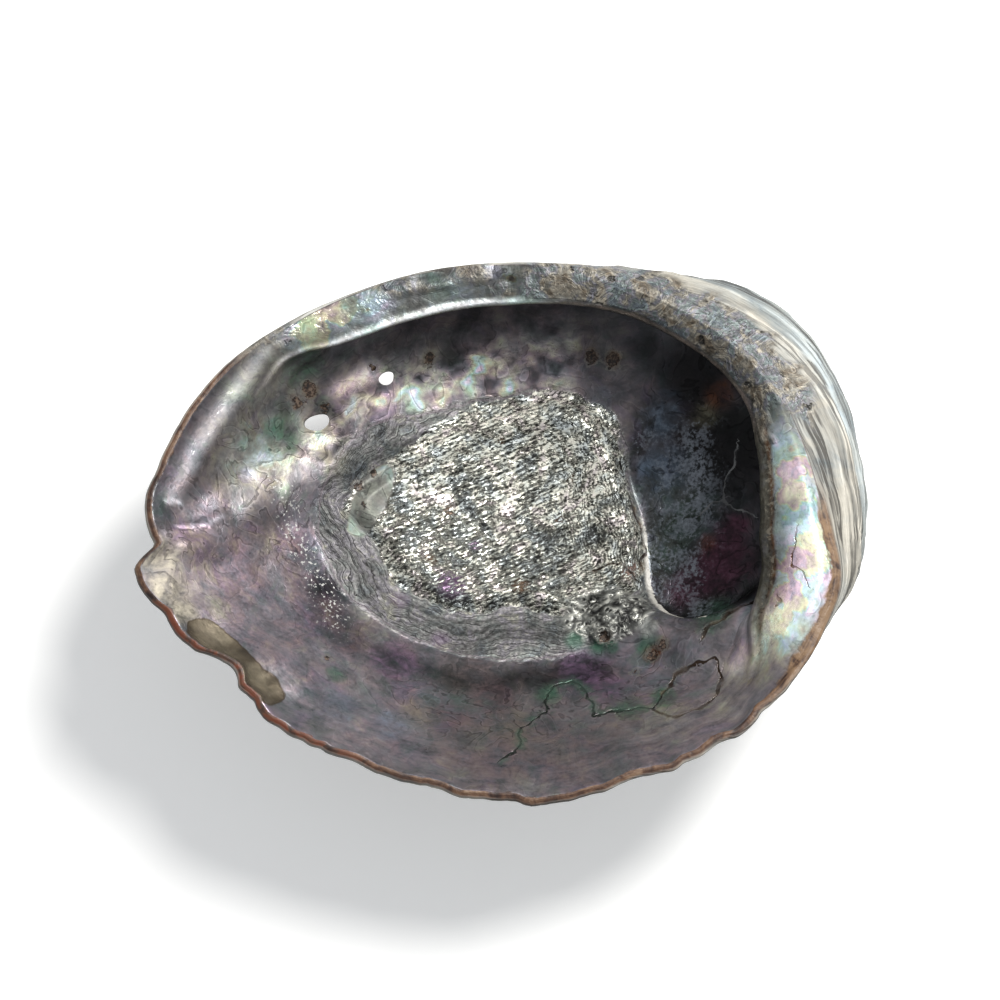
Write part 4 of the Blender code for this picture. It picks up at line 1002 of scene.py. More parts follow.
    def paint_cracks(self):
        """Distances in millimetres from the cracks, the olive fold and the pits."""
        self.cracks = {}
        x = self.x + 0.0011 * self.small
        y = self.y + 0.0011 * self.noise(0.0045, 2, 50)
        on_shelf = 0.05 * self.shelf
        off_band = 0.05 * (1.0 - smooth_step(self.up, 0.046, 0.049))
        for name, paths, away in (
                ("green", (GREEN_CRACK,), on_shelf),
                ("brown", (LEDGE_CRACK, CLEFT, BROWN_CRACK, SEAM_TAIL), on_shelf),
                ("band", BAND_CRACKS, off_band), ("pale", CHAMBER_CRACKS, on_shelf)):
            sides = np.array([path_side(x, y, metres(path)) for path in paths])
            nearest = np.abs(sides).argmin(axis=0)
            side = np.take_along_axis(sides, nearest[None, :], axis=0)[0]
            self.cracks[name + "_side"] = 1000.0 * np.clip(side, -0.05, 0.05)
            self.cracks[name + "_gap"] = 1000.0 * np.minimum(np.abs(side) + away, 0.05)
        self.fold = 1000.0 * np.minimum(path_gap(self.x, self.y, metres(OLIVE_FOLD)), 0.02)
        depth = np.max([place[2] - 1000.0 * self.away(place) for place in PITS], axis=0)
        self.pits = (np.maximum(depth, -5.0) + 5.0) * self.floor - 5.0

    def stain(self):
        """Colour and cover of the stains, and of the pitch spots that paint shade in the chamber."""
        fine = self.noise(0.004, 2, 48)
        shares = []
        for name, *place, strength in STAINS:
            spot = self.spot(place) * (1.0 + 0.25 * self.soft + 0.25 * fine)
            share = strength * smooth_step(spot, 0.12, 0.85) * self.inner * self.below
            shares.append((name, share))
        inward = self.nose_gap + 0.0005 * fine
        strip = window(inward, (-0.0050, -0.0038), (0.0008, 0.0030)) * self.right_end
        seam = bump(inward + 0.0046, 0.0009) * self.right_end
        thread = 0.9 * bump(inward + 0.0009, 0.0011) * self.top_side(18.0, 86.0)
        patchy = self.grown * np.clip(1.0 + 0.4 * fine, 0.0, 1.0)
        shares += [("loam", strip * patchy), ("brown", seam * patchy), ("sand", thread * patchy)]
        wash = np.zeros((len(self.x), 4))
        for name, share in shares:
            wash += share[:, None] * (np.array((*PAINTS[name], 1.0)) - wash)
        wash[:, :3] /= np.maximum(wash[:, 3:], 1e-6)
        return wash

    def places(self):
        """Places that follow the shell: across and along the lip, the scar and the growth."""
        turn = np.radians(self.angle)
        about = np.arctan2(self.y - SCAR_CENTRE[1], self.x - SCAR_CENTRE[0])
        right = window(signed_angle(self.angle), (-80.0, -35.0), (105.0, 155.0))
        level = right * self.up + (1.0 - right) * (0.050 + self.edge_gap)
        level += 0.0010 * self.noise(0.030, 2, 51)
        rows = {
            "lip_place": (8.0 * self.edge_gap, 0.085, turn),
            "scar_place": (8.0 * self.scar_gap, 0.035, about),
            "growth_place": (8.0 * level, 0.022, turn),
            "cross_place": (1.2 * self.edge_gap, 0.085, turn)}
        return {name: np.stack((across, radius * np.cos(along), radius * np.sin(along)), axis=1)
                for name, (across, radius, along) in rows.items()}

    def masks(self):
        """Numbers that the materials read; gaps are in millimetres."""
        numbers = {name: getattr(self, name) for name in MASKS}
        gaps = {name: 1000.0 * getattr(self, name) for name in GAPS}
        return {**numbers, **gaps, **self.cracks}

    def outer_relief(self):
        """Growth ledges, the ridge over the pores, the spire's knob and weathering."""
        age = (growth_age(self.x, self.y) + 0.018 * self.noise(0.02, 2, 11)) / GROWTH_STEP
        ledges = GROWTH_LEDGE * step_ledge(age) + 0.00032 * step_ledge(4.0 * age)
        ledges += 0.00014 * step_ledge(11.0 * age)
        swollen = smooth_step(keyed(self.angle, BULGE), 0.002, 0.010)
        swollen *= smooth_step(self.share, 0.6, 0.8)
        level = self.up / keyed(self.angle, LIP_HEIGHT) + 0.02 * self.noise(0.02, 2, 12)
        folds = BULGE_LEDGE * step_ledge(BULGE_LEDGES * level)
        folds += 0.00045 * step_ledge(15.0 * level) + 0.0002 * step_ledge(41.0 * level)
        relief = ledges * (1.0 - swollen) + folds * swollen
        gap, turn = self.row_gap - 0.6 * WALL, self.row_turn
        nearest = turn - PORE_ROW_ANGLE + 0.5 * PORE_SPACING
        nearest = nearest % PORE_SPACING - 0.5 * PORE_SPACING
        along = np.radians(nearest) * pore_row_reach(turn) * np.hypot(1.0, SHRINK)
        row = PORE_RIDGE[1] * bump(gap, PORE_RIDGE[0])
        row += TUBERCLE[1] * bump(np.hypot(gap, along), TUBERCLE[0])
        relief += row * window(turn, (70.0, 110.0), (181.0, 186.0))
        x, y = self.x - APEX[0], self.y - APEX[1]
        knob = np.hypot(x, y)
        coil = np.cos(np.arctan2(y, x) - 9.0 * np.log(knob / 0.004 + 0.3))
        relief += SPIRE_KNOB[1] * bump(knob, SPIRE_KNOB[0]) * (1.0 + 0.25 * coil)
        relief += 0.0006 * self.noise(0.009, 3, 13) * smooth_step(self.share, 0.1, 0.4)
        return relief * window(self.share, (0.1, 0.3), (0.93, 1.0))

    def inner_relief(self):
        """Nacre face: pore groove and ridge, spots, margin roll, dent, scar and terraces."""
        x, y, gap = self.x, self.y, self.edge_gap
        place, width, height = INNER_RIDGE
        relief = height * bump(self.row_gap - place, width)
        relief -= PORE_GROOVE[1] * bump(self.row_gap, PORE_GROOVE[0])
        relief *= smooth_step(self.row_turn, 105.0, 135.0) * smooth_step(gap, 0.002, 0.008)
        for place, radius, height in INNER_SPOTS:
            relief += height * bump(np.hypot(x - place[0], y - place[1]), radius)
        start, end, place, width, height = MARGIN_ROLL
        rolled = window(self.angle, (start, start + 8.0), (end - 8.0, end))
        relief += height * bump(gap - place, width) * rolled
        middle, turn, half_length, half_width, depth = LIP_DENT
        along, across = along_across(x, y, middle, turn)
        relief -= depth * np.exp(-(along / half_length) ** 4 - (across / half_width) ** 2)
        for place, length, _, _ in OPEN_PORES:
            away = np.hypot(x - place[0], y - place[1])
            toward = (x - place[0] - y + place[1]) / np.maximum(away, 1e-5) / 1.4142
            collar = bump(away - 0.98 * length, 0.26 * length)
            relief += 0.0005 * (0.6 + 0.4 * toward) * collar - 0.0009 * bump(away, 0.8 * length)
        hole = self.away(DEEP_PIT)
        marks = 0.0006 * bump(path_gap(x, y, NOTCH_CREASE), 0.0012) + 0.0006 * self.line(LEAF, 2.0)
        marks += 0.0007 * bump(hole - 0.0022, 0.0008) - 0.0016 * bump(hole, 0.0013)
        marks -= 0.0009 * self.spot(BROWN_PIT)
        relief += marks * self.floor + 0.00035 * self.nose_highlight
        bare = 1.0 - np.maximum(self.layers, self.scar)
        relief += 0.00030 * self.noise(0.014, 3, 21) * (0.35 + 0.65 * bare)
        return (relief + self.scar_relief()) * smooth_step(gap, 0.0, 0.003)

    def scar_relief(self):
        """Wavy ridges and pits of the muscle scar, and the terraces round it."""
        flat = np.zeros(len(self.x))
        along, across = along_across(self.x, self.y, (0.0, 0.0), SCAR_GRAIN)
        place = np.stack((along, across, flat), axis=1)
        ridges = layered_grain(place, (0.0050, 0.0018, 1.0), 3, 31)
        about = 0.02 * np.arctan2(self.y - SCAR_CENTRE[1], self.x)
        edge = np.stack((2.2 * self.scar_gap, about, flat), axis=1)
        rings = layered_grain(edge, (0.0020, 0.0040, 1.0), 3, 33)
        to_right = smooth_step(self.x, 0.014, 0.030)
        rough = ridges * (1.0 - to_right) + rings * to_right
        relief = self.scar * (0.00045 * rough + 0.00025 * grain(self.points, 0.0013, 35))
        band = 0.0012 * self.noise(0.012, 3, 37) - self.scar_gap
        terraces = 0.00034 * step_ledge(band / 0.0024) + 0.00012 * step_ledge(band / 0.0007)
        return relief + self.layers * (1.0 - self.scar) * terraces

    def shape(self):
        """Final points."""
        relief = np.where(self.ring <= OUTER_RINGS, self.outer_relief(), self.inner_relief())
        relief[(self.ring > OUTER_RINGS) & (self.ring < FIRST_INNER)] = 0.0
        points = self.points + self.normals * relief[:, None]
        points[:, 2] = np.maximum(points[:, 2], 0.0)
        return points + np.array(PLAN_SHIFT)


def build_camera():
    """Camera at the photograph's viewing angle."""
    lift = np.radians(CAMERA_ELEVATION)
    back = Vector((0.0, -np.cos(lift), np.sin(lift)))
    place = Vector(CAMERA_TARGET) + CAMERA_DISTANCE * back
    data = bpy.data.cameras.new("camera")
    data.lens = CAMERA_LENS
    data.sensor_width = 36.0
    data.clip_end = 20.0
    camera = bpy.data.objects.new("camera", data)
    camera.location = place
    camera.rotation_euler = (-back).to_track_quat("-Z", "Y").to_euler()
    bpy.context.scene.collection.objects.link(camera)
    bpy.context.scene.camera = camera


def build_light(name, place, aim, size, power, tint):
    data = bpy.data.lights.new(name, "AREA")
    data.shape = "DISK"
    data.size = size
    data.energy = power
    data.color = tint
    light = bpy.data.objects.new(name, data)
    light.location = place
    light.rotation_euler = (Vector(aim) - Vector(place)).to_track_quat("-Z", "Y").to_euler()
    bpy.context.scene.collection.objects.link(light)


def build_studio():
    """Pale, faintly glowing floor, a key light from the upper right and a weak even fill."""
    world = bpy.data.worlds.new("studio")
    world.use_nodes = True
    background = world.node_tree.nodes["Background"]
    background.inputs["Color"].default_value = (0.93, 0.96, 1.0, 1.0)
    background.inputs["Strength"].default_value = 0.45
    bpy.context.scene.world = world
    build_light("key", (0.34, 0.32, 0.66), (0.0, 0.0, 0.03), 0.32, 9.6, (1.0, 0.98, 0.95))
    data = bpy.data.meshes.new("floor")
    corners = [(-3.0, -3.0, 0.0), (3.0, -3.0, 0.0), (3.0, 3.0, 0.0), (-3.0, 3.0, 0.0)]
    data.from_pydata(corners, [], [(0, 1, 2, 3)])
    floor = bpy.data.objects.new("floor", data)
    bpy.context.scene.collection.objects.link(floor)
    material = bpy.data.materials.new("pale_floor")
    material.use_nodes = True
    shader = material.node_tree.nodes["Principled BSDF"]
    shader.inputs["Base Color"].default_value = (0.86, 0.86, 0.85, 1.0)
    shader.inputs["Roughness"].default_value = 0.8
    # The floor glows faintly, lifting its shadow and lighting the shell from below
    shader.inputs["Emission Color"].default_value = (1.0, 1.0, 1.0, 1.0)
    shader.inputs["Emission Strength"].default_value = 0.30
    data.materials.append(material)


class Value:
    """A number of a material's node tree that takes part in plain sums.

    A product waits until it is used, so that a product and the sum it is in share one node.
    """

    def __init__(self, graph, made=None, factors=None):
        self.graph = graph
        self.made = made
        self.factors = factors

    def socket(self):
        if self.made is None:
            self.made = self.graph.math("MULTIPLY", *self.factors).made
        return self.made

    def clamped(self):
        """Kept between 0 and 1."""
        self.socket().node.use_clamp = True
        return self

    def __mul__(self, other):
        return Value(self.graph, factors=(self, other))

    def __add__(self, other):
        product, rest = (other, self) if getattr(other, "factors", None) else (self, other)
        if product.factors:
            return self.graph.math("MULTIPLY_ADD", *product.factors, rest)
        return self.graph.math("ADD", self, other)

    def __sub__(self, other):
        return self.graph.math("SUBTRACT", self, other)

    def __rsub__(self, other):
        return self.graph.math("SUBTRACT", other, self)

    def __abs__(self):
        return self.graph.math("ABSOLUTE", self)

    __rmul__ = __mul__
    __radd__ = __add__


class Graph:
    """Short ways to add and join the nodes of one material."""

    def __init__(self, name):
        self.material = bpy.data.materials.new(name)
        self.material.use_nodes = True
        self.tree = self.material.node_tree
        self.place = self.node("TexCoord").outputs["Object"]

    def join(self, node, inputs):
        """Set or link a node's inputs, given by name or number."""
        for key, value in inputs.items():
            if isinstance(value, Value):
                value = value.socket()
            if isinstance(value, bpy.types.NodeSocket):
                self.tree.links.new(value, node.inputs[key])
            else:
                node.inputs[key].default_value = value

    def node(self, kind, inputs=None, **settings):
        node = self.tree.nodes.new("ShaderNode" + kind)
        for name, setting in settings.items():
            setattr(node, name, setting)
        self.join(node, inputs or {})
        return node

    def vector(self, name, output="Vector"):
        """A place or colour kept on the mesh."""
        return self.node("Attribute", attribute_name=name).outputs[output]

    def value(self, name, output="Fac"):
        """A number kept on the mesh."""
        return Value(self, self.vector(name, output))

    def math(self, kind, *numbers):
        node = self.node("Math", operation=kind)
        self.join(node, dict(enumerate(numbers)))
        return Value(self, node.outputs[0])

    def step(self, value, low, high):
        """0 at low and 1 at high, smooth between; low can be the greater of the two."""
        limits = (low, high, 0.0, 1.0) if low < high else (high, low, 1.0, 0.0)
        names = ("Value", "From Min", "From Max", "To Min", "To Max")
        node = self.node("MapRange", dict(zip(names, (value, *limits))),
                         interpolation_type="SMOOTHSTEP")
        return Value(self, node.outputs["Result"])

    def line(self, value, middle, outer, inner):
        """1 within inner of the middle, 0 beyond outer."""
        return self.step(abs(value - middle), outer, inner)

    def plates(self, steps):
        """Rising steps cut into plates: the place across each plate, and a tone of its own."""
        part = self.math("FRACT", steps)
        return part, self.math("SINE", PLATE_SPREAD * (steps - part))

    def blend(self, share, first, second, kind="MIX"):
        first, second = ((*c, 1.0) if isinstance(c, tuple) else c for c in (first, second))
        node = self.node("Mix", data_type="RGBA", blend_type=kind)
        self.join(node, {"Factor": share, 6: first, 7: second})
        return node.outputs[2]

    def between(self, share, first, second):
        return Value(self, self.node("Mix", {"Factor": share, 2: first, 3: second}).outputs[0])

    def stretch(self, place, scale):
        return self.node("VectorMath", {0: place, 1: scale}, operation="MULTIPLY").outputs[0]

    def scaled(self, colour, amount):
        node = self.node("VectorMath", {0: colour, "Scale": amount}, operation="SCALE")
        return node.outputs[0]

    def split(self, place):
        """The three numbers of a place."""
        return [Value(self, part) for part in self.node("SeparateXYZ", {0: place}).outputs]

    def noise(self, place, size, detail=3.0, rough=0.5, bend=0.0):
        node = self.node("TexNoise", {
            "Vector": place, "Scale": 1.0 / size, "Detail": detail, "Roughness": rough,
            "Distortion": bend})
        return Value(self, node.outputs["Fac"])

    def cells(self, place, size, feature="F1"):
        node = self.node("TexVoronoi", {"Vector": place, "Scale": 1.0 / size}, feature=feature)
        return Value(self, node.outputs["Distance"])

    def ramp(self, value, stops):
        node = self.node("ValToRGB", {"Fac": value})
        points = node.color_ramp.elements
        while len(points) < len(stops):
            points.new(0.5)
        for point, (place, colour) in zip(points, stops):
            point.position = place
            point.color = (*colour, 1.0)
        return node.outputs["Color"]

    def tinted(self, colour, value, stops):
        """A colour with faint tints that follow a value."""
        return self.blend(1.0, colour, self.ramp(value, stops), "MULTIPLY")

    def stained(self, colour, tone, bright, dark):
        """Stains that sink into the darker places of a rough face."""
        cover = self.value("wash", "Alpha") * self.step(tone, bright, dark)
        return self.blend(cover, colour, self.vector("wash", "Color"))


Layer = namedtuple("Layer", "colour rough metal height")


def lay(graph, under, over, mask):
    """One layer over another where the mask says."""
    numbers = (graph.between(mask, low, high) for low, high in zip(under[1:], over[1:]))
    return Layer(graph.blend(mask, under.colour, over.colour), *numbers)


def nacre_layer(graph):
    """Pearly grey with soft hues that wander over the shell."""
    place = graph.place
    cloud = graph.noise(place, 0.0048, 5.0, 0.60, 0.5)
    fine = graph.noise(place, 0.0010, 2.0, 0.6)
    clouds = cloud - 0.5
    crumbs = fine - 0.5
    streaks = graph.noise(graph.vector("lip_place"), 0.014, 3.0, 0.55, 0.3) - 0.5
    worn = graph.value("worn")

    phase = 0.8 * clouds + graph.value("hue")
    phase = 0.25 * streaks + phase
    hues = graph.ramp(graph.math("FRACT", phase + 4.0), PEARL_HUES)
    depth = (1.2 * clouds + graph.value("tint")).clamped()
    colour = graph.blend(depth, PEARL_WHITE, hues)

    level = clouds * (2.1 * graph.value("bumpy") + 0.9) + 1.0
    level += 1.3 * streaks * graph.value("streaky")
    level += 0.55 * crumbs
    part, plate = graph.plates(8.0 * graph.noise(place, 0.0125, 3.0, 0.5, 0.5))
    dark_edge = graph.step(part, 0.24, 0.10) * worn * graph.step(cloud, 0.40, 0.52)
    level -= 0.50 * dark_edge
    level += 0.36 * (graph.line(part, 0.90, 0.10, 0.04) * worn)
    level += 0.15 * (plate * worn)
    level += 1.1 * (graph.noise(place, 0.0095, 4.0, 0.60, 0.9) - 0.5)
    level -= 0.5 * graph.step(fine, 0.28, 0.21)
    # The brightness read from the mesh carries the painted highlights and painted shade
    colour = graph.scaled(colour, graph.math("MAXIMUM", level, 0.12) * graph.value("value"))
    moods = graph.ramp(graph.noise(place, 0.0120, 4.0, 0.58, 0.7), NACRE_MOODS)
    colour = graph.blend((0.5 * worn + 0.35).clamped(), colour, moods, "MULTIPLY")

    washed = graph.value("wash", "Alpha")
    cover = (1.4 * clouds + washed).clamped() * graph.step(washed, 0.0, 0.25)
    shade = 3.0 * clouds + 1.2 * crumbs + 1.0 - 0.6 * dark_edge
    wash = graph.scaled(graph.vector("wash", "Color"), graph.math("MAXIMUM", shade, 0.2))
    colour = graph.blend(cover, colour, wash)

    frost = graph.value("frost")
    frosted = graph.step(0.40 * frost + (1.2 * crumbs + 1.6 * clouds), 0.11, 0.40)
    colour = graph.blend(frosted * (0.9 * frost), colour, graph.scaled(FROST, 2.6 * crumbs + 1.0))
    flecks = graph.value("flecks")
    fleck = graph.step(0.16 * flecks + crumbs, 0.24, 0.28) * flecks
    colour = graph.blend(fleck, colour, FLECK)
    ledge = graph.step(0.8 * clouds + (0.7 * crumbs + graph.value("ledge")), 0.32, 0.44)
    colour = graph.blend(ledge, colour, graph.scaled(LEDGE_CHALK, 1.2 * crumbs + 1.0))
    seamy = graph.value("seamy")
    crumbly = 0.10 * seamy + graph.noise(place, 0.0020, 4.0, 0.68, 0.4)
    for start, end, paint in SEAM_CRUMBS:
        colour = graph.blend(graph.step(crumbly, start, end) * seamy, colour, paint)
    fold = 3.0 * graph.noise(place, 0.0065, 3.0, 0.55) + graph.value("fold")
    olive = graph.ramp(graph.noise(place, 0.0110, 3.0, 0.5), OLIVE_TONES)
    olive = graph.scaled(olive, 1.6 * clouds + 1.0)
    colour = graph.blend(0.92 * graph.step(fold, 5.9, 5.3), colour, olive)
    colour = graph.blend(0.6 * graph.line(fold, 5.5, 0.40, 0.10), colour, OLIVE_EDGE)

    height = (0.00055 * cloud + 0.00006 * fine) * graph.value("bumpy") - 0.00005 * dark_edge
    folds = graph.noise(graph.vector("cross_place"), 0.0034, 2.0, 0.5, 0.2)
    height += 0.00060 * (folds * graph.value("crinkle"))
    rough = 0.25 * crumbs + graph.value("rough")
    return Layer(colour, rough, graph.value("metal") * (1.0 - ledge), height)


def scar_layer(graph):
    """Rough silvery scar: short bright and dark scales that rise to the right."""
    spin = {"Vector": graph.place, "Angle": -np.radians(SCAR_GRAIN)}
    turned = graph.node("VectorRotate", spin, rotation_type="Z_AXIS").outputs[0]
    scales = graph.noise(graph.stretch(turned, (0.55, 1.0, 1.0)), 0.00075, 2.0, 0.55, 0.7)
    rows = graph.noise(graph.stretch(turned, (0.16, 1.0, 1.0)), 0.0018, 2.0, 0.5, 0.9)
    patch = graph.noise(graph.place, 0.0060, 3.0, 0.6, 0.6)
    x, y, _ = graph.split(graph.place)
    waves = graph.math("SINE", 30.0 * patch + 5.4 * graph.value("scar_gap"))
    strokes = graph.math("SINE", 16.0 * patch + 4600.0 * graph.split(turned)[1])
    share = 0.070 * graph.step(x, 0.002, 0.034) + 0.005
    tone = waves * share + scales
    tone += strokes * (0.075 - share)
    tone += 0.40 * (rows - 0.5)
    tone += 0.60 * (patch - 0.5)
    tone += 0.065 * (graph.step(y, -0.004, 0.036) - 0.5)
    tints = graph.noise(graph.place, 0.0055, 3.0, 0.55, 0.3)
    colour = graph.tinted(graph.ramp(tone, SCAR_TONES), tints, SCAR_TINTS)
    specks = graph.noise(graph.place, 0.0011, 1.0, 0.5)
    colour = graph.blend(graph.step(specks, 0.29, 0.24), colour, SCAR_SPECK)
    colour = graph.stained(colour, tone, 0.60, 0.44)
    return Layer(colour, 0.32, 0.50, 0.00036 * graph.step(tone, 0.32, 0.64))


def terrace_layer(graph):
    """Grey layers round the scar, with fine broken lines along their edges."""
    patch = graph.noise(graph.place, 0.0075, 4.0, 0.52, 0.3)
    lines = graph.noise(graph.vector("scar_place"), 0.0080, 3.0, 0.55, 0.2)
    fine = graph.noise(graph.place, 0.0010, 2.0, 0.55)
    steps = 3.6 * patch + 0.72 * graph.value("scar_gap")
    steps = 0.40 * fine + (steps + 60.0)
    part, plate = graph.plates(steps)
    dark = graph.step(part, 0.24, 0.14) * graph.step(lines, 0.47, 0.56)
    thin = graph.step(graph.math("FRACT", 2.3 * steps), 0.30, 0.16)
    thin *= graph.step(lines, 0.58, 0.50)
    pale = graph.line(part, 0.86, 0.15, 0.07)
    tone = 0.34 * patch + 0.046 * plate + 0.26 * lines + 0.34 * fine - 0.002
    tone = tone - 0.17 * dark - 0.05 * thin + 0.045 * pale
    tints = graph.noise(graph.place, 0.0075, 3.0, 0.55, 0.3)
    colour = graph.tinted(graph.ramp(tone, TERRACE_TONES), tints, TERRACE_TINTS)
    rim = graph.line(graph.value("layer_gap"), -0.5, 0.40, 0.12)
    colour = graph.blend(0.45 * rim, colour, TERRACE_RIM)
    colour = graph.stained(colour, tone, 0.66, 0.45)
    return Layer(colour, 0.50, 0.25, 0.0005 * tone)


def blister_layer(graph):
    """Rounded silvery blisters with black gaps between."""
    bend = graph.noise(graph.place, 0.0026, 3.0, 0.6, 0.8)
    cells = graph.cells(graph.place, 0.0024, "SMOOTH_F1")
    tone = 0.10 * graph.math("SINE", 11.0 * cells + 9.0 * bend) + bend
    colour = graph.stained(graph.ramp(tone, BLISTER_TONES), tone, 0.70, 0.48)
    return Layer(colour, 0.36, 0.45, 0.0013 * tone)


def outside_layer(graph):
    """Chalky growth layers outside: cream, grey and brick bands with fine lines."""
    place = graph.vector("growth_place")
    bands = graph.noise(place, 0.022, 3.0, 0.55, 0.1)
    lines = graph.noise(place, 0.0050, 4.0, 0.62, 0.1)
    blotch = graph.noise(graph.place, 0.014, 4.0, 0.62, 0.5)
    part, plate = graph.plates(0.5 * lines + 4.5 * bands)
    tone = 0.40 * bands + 0.46 * lines + 0.050 * plate + 0.22 * (blotch - 0.5) + 0.073
    tone = tone - 0.12 * graph.step(part, 0.27, 0.17) + 0.07 * graph.line(part, 0.88, 0.12, 0.04)
    colour = graph.tinted(graph.ramp(tone, CHALK_TONES), 0.10 * plate + blotch, CHALK_TINTS)
    far = graph.step(16.0 * (bands - 0.5) + graph.value("edge_gap"), -11.0, -14.0)
    colour = graph.blend(far, colour, CHALK_BLUE, "MULTIPLY")
    low = graph.step(graph.split(graph.place)[2], 0.040, 0.022)
    brick = graph.step(blotch, 0.44, 0.60) * (0.7 * low)
    return Layer(graph.blend(brick, colour, BRICK), 0.70, 0.0, 0.0022 * tone)


def lip_layer(graph):
    """Tan to rust horny edge of the lip."""
    patch = graph.noise(graph.place, 0.0060, 4.0, 0.66, 0.4)
    lines = graph.noise(graph.vector("lip_place"), 0.006, 3.0, 0.6)
    tone = 0.30 * lines + 0.75 * patch
    x, y, _ = graph.split(graph.place)
    rust = graph.step(x, -0.030, -0.050) * graph.step(y, -0.016, -0.030)
    rust *= graph.step(patch, 0.42, 0.56)
    colour = graph.blend(rust, graph.ramp(tone, LIP_TONES), LIP_RUST)
    tan = 0.28 * graph.value("tan") * graph.step(tone, 0.42, 0.58)
    return Layer(graph.blend(tan, colour, LIP_TAN), 0.50, 0.0, 0.0006 * tone)


def eroded_layer(graph):
    """Worn, worm-eaten shell: grey-brown crumbs with pale edges and dark holes."""
    place = graph.place
    plates = graph.noise(place, 0.0090, 4.0, 0.58, 0.9)
    kinds = graph.noise(place, 0.0062, 3.0, 0.55, 0.4)
    grit = graph.noise(place, 0.0016, 3.0, 0.6, 0.3)
    ribs = graph.noise(graph.vector("lip_place"), 0.0050, 3.0, 0.6, 0.1)
    part, plate = graph.plates(7.0 * plates)
    kind = 0.050 * plate + 0.20 * (grit - 0.5) + (kinds - 0.030)
    level = 2.0 * (grit - 0.5) + 1.6 * (ribs - 0.5) + 0.84
    level -= 0.75 * (graph.step(part, 0.12, 0.04) * graph.step(grit, 0.42, 0.52))
    level += 0.75 * graph.line(part, 0.86, 0.12, 0.04)
    shift = {0: place, 1: graph.scaled((0.004, 0.004, 0.004), plates)}
    cells = graph.cells(graph.node("VectorMath", shift, operation="ADD").outputs[0], 0.0075)
    crumbly = graph.step(kind, 0.49, 0.55)
    holes = graph.step(cells, 0.22, 0.14) * crumbly
    level += 0.5 * (graph.line(cells, 0.29, 0.06, 0.02) * crumbly)
    level -= 0.85 * holes
    colour = graph.scaled(graph.ramp(kind, WORN_TONES), graph.math("MAXIMUM", level, 0.08))
    height = 0.0016 * plates + 0.00035 * grit - 0.0006 * holes
    return Layer(colour, 0.48, 0.15, height)


def pit_marks(graph, layer):
    """Small dark pits with a ragged pale rim."""
    ragged = graph.noise(graph.place, 0.0017, 3.0, 0.65)
    reach = 4.2 * (ragged - 0.5) + graph.value("pits")
    rims = 0.40 * graph.line(reach, -0.45, 0.45, 0.15)
    colour = graph.blend(rims, layer.colour, PIT_RIM)
    pits = graph.step(reach, 0.0, 0.3)
    grit = graph.noise(graph.place, 0.0009, 2.0, 0.6)
    colour = graph.blend(pits, colour, graph.ramp(grit, PIT_TONES))
    return Layer(colour, layer.rough, layer.metal * (1.0 - pits), layer.height - 0.00030 * pits)


def crack_lines(graph, layer, name, paint, stain_paint, reach, depth, border, breadth):
    """Thin line along a crack, with a pale edge and a stain beside it."""
    gap = graph.value(name + "_gap")
    wander = graph.noise(graph.place, 0.0022, 3.0, 0.6)
    uneven = graph.noise(graph.place, 0.0060, 2.0, 0.5)
    near = graph.step(gap, 2.0, 1.2)
    bent = abs(1.4 * wander + (graph.value(name + "_side") - 0.7))
    line = graph.step(bent + 0.45 - 0.9 * wander, breadth, breadth - 0.24) * near
    line *= 0.55 * graph.step(uneven, 0.60, 0.42) + 0.45
    broken = graph.step(graph.noise(graph.place, 0.0013, 2.0, 0.6), 0.46, 0.54)
    edge = border * (graph.line(bent, 0.75, 0.35, 0.10) * near * broken)
    stain = 0.6 * graph.step(3.0 * wander + (gap - 1.5), reach, 0.0) * graph.step(uneven, 0.44, 0.54)
    colour = graph.blend(stain, layer.colour, stain_paint)
    colour = graph.blend(edge, colour, CRACK_EDGE)
    colour = graph.blend(line, colour, paint)
    return layer._replace(colour=colour, height=layer.height - depth * line)


def finish_material(graph, layer):
    """Join a layer to the shader."""
    relief = graph.node("Bump", {"Distance": 1.0, "Strength": 1.0, "Height": layer.height})
    graph.join(graph.tree.nodes["Principled BSDF"], {
        "Base Color": layer.colour, "Roughness": layer.rough, "Metallic": layer.metal,
        "Normal": relief.outputs["Normal"]})
    return graph.material


def nacre_material():
    """Nacre inside, with its cracks, and the horny edge of the lip."""
    graph = Graph("nacre")
    layer = nacre_layer(graph)
    for crack in NACRE_CRACKS:
        layer = crack_lines(graph, layer, *crack)
    layer = pit_marks(graph, layer)
    layer = lay(graph, layer, eroded_layer(graph), graph.value("eroded"))
    ragged = graph.noise(graph.place, 0.0045, 4.0, 0.62)
    rim = graph.value("edge_gap") - graph.value("tan") + 4.3 - 5.0 * ragged
    mask = graph.step(rim, 1.6, 0.2) * graph.value("rim")
    return finish_material(graph, lay(graph, layer, lip_layer(graph), mask))


def scar_material():
    """Muscle scar, the terraces round it and the nacre next to them."""
    graph = Graph("scar")
    layers = graph.value("layers")
    layer = lay(graph, nacre_layer(graph), terrace_layer(graph), layers)
    ragged = graph.noise(graph.place, 0.0035, 4.0, 0.66)
    mask = graph.step(5.0 * ragged + (graph.value("scar_gap") - 2.5), -0.5, 0.5) * layers
    layer = lay(graph, layer, scar_layer(graph), mask)
    layer = lay(graph, layer, blister_layer(graph), graph.step(graph.value("blister"), 0.3, 0.6))
    layer = crack_lines(graph, pit_marks(graph, layer), *SCAR_CRACK)
    return finish_material(graph, layer)


def outside_material():
    """Chalky layers outside, worn by the spire, with the lip's horny edge."""
    graph = Graph("outside")
    mask = graph.step(graph.value("edge_gap"), -3.2, -1.8) * graph.value("rim")
    layer = lay(graph, outside_layer(graph), lip_layer(graph), mask)
    layer = lay(graph, layer, eroded_layer(graph), graph.value("eroded"))
    return finish_material(graph, layer)


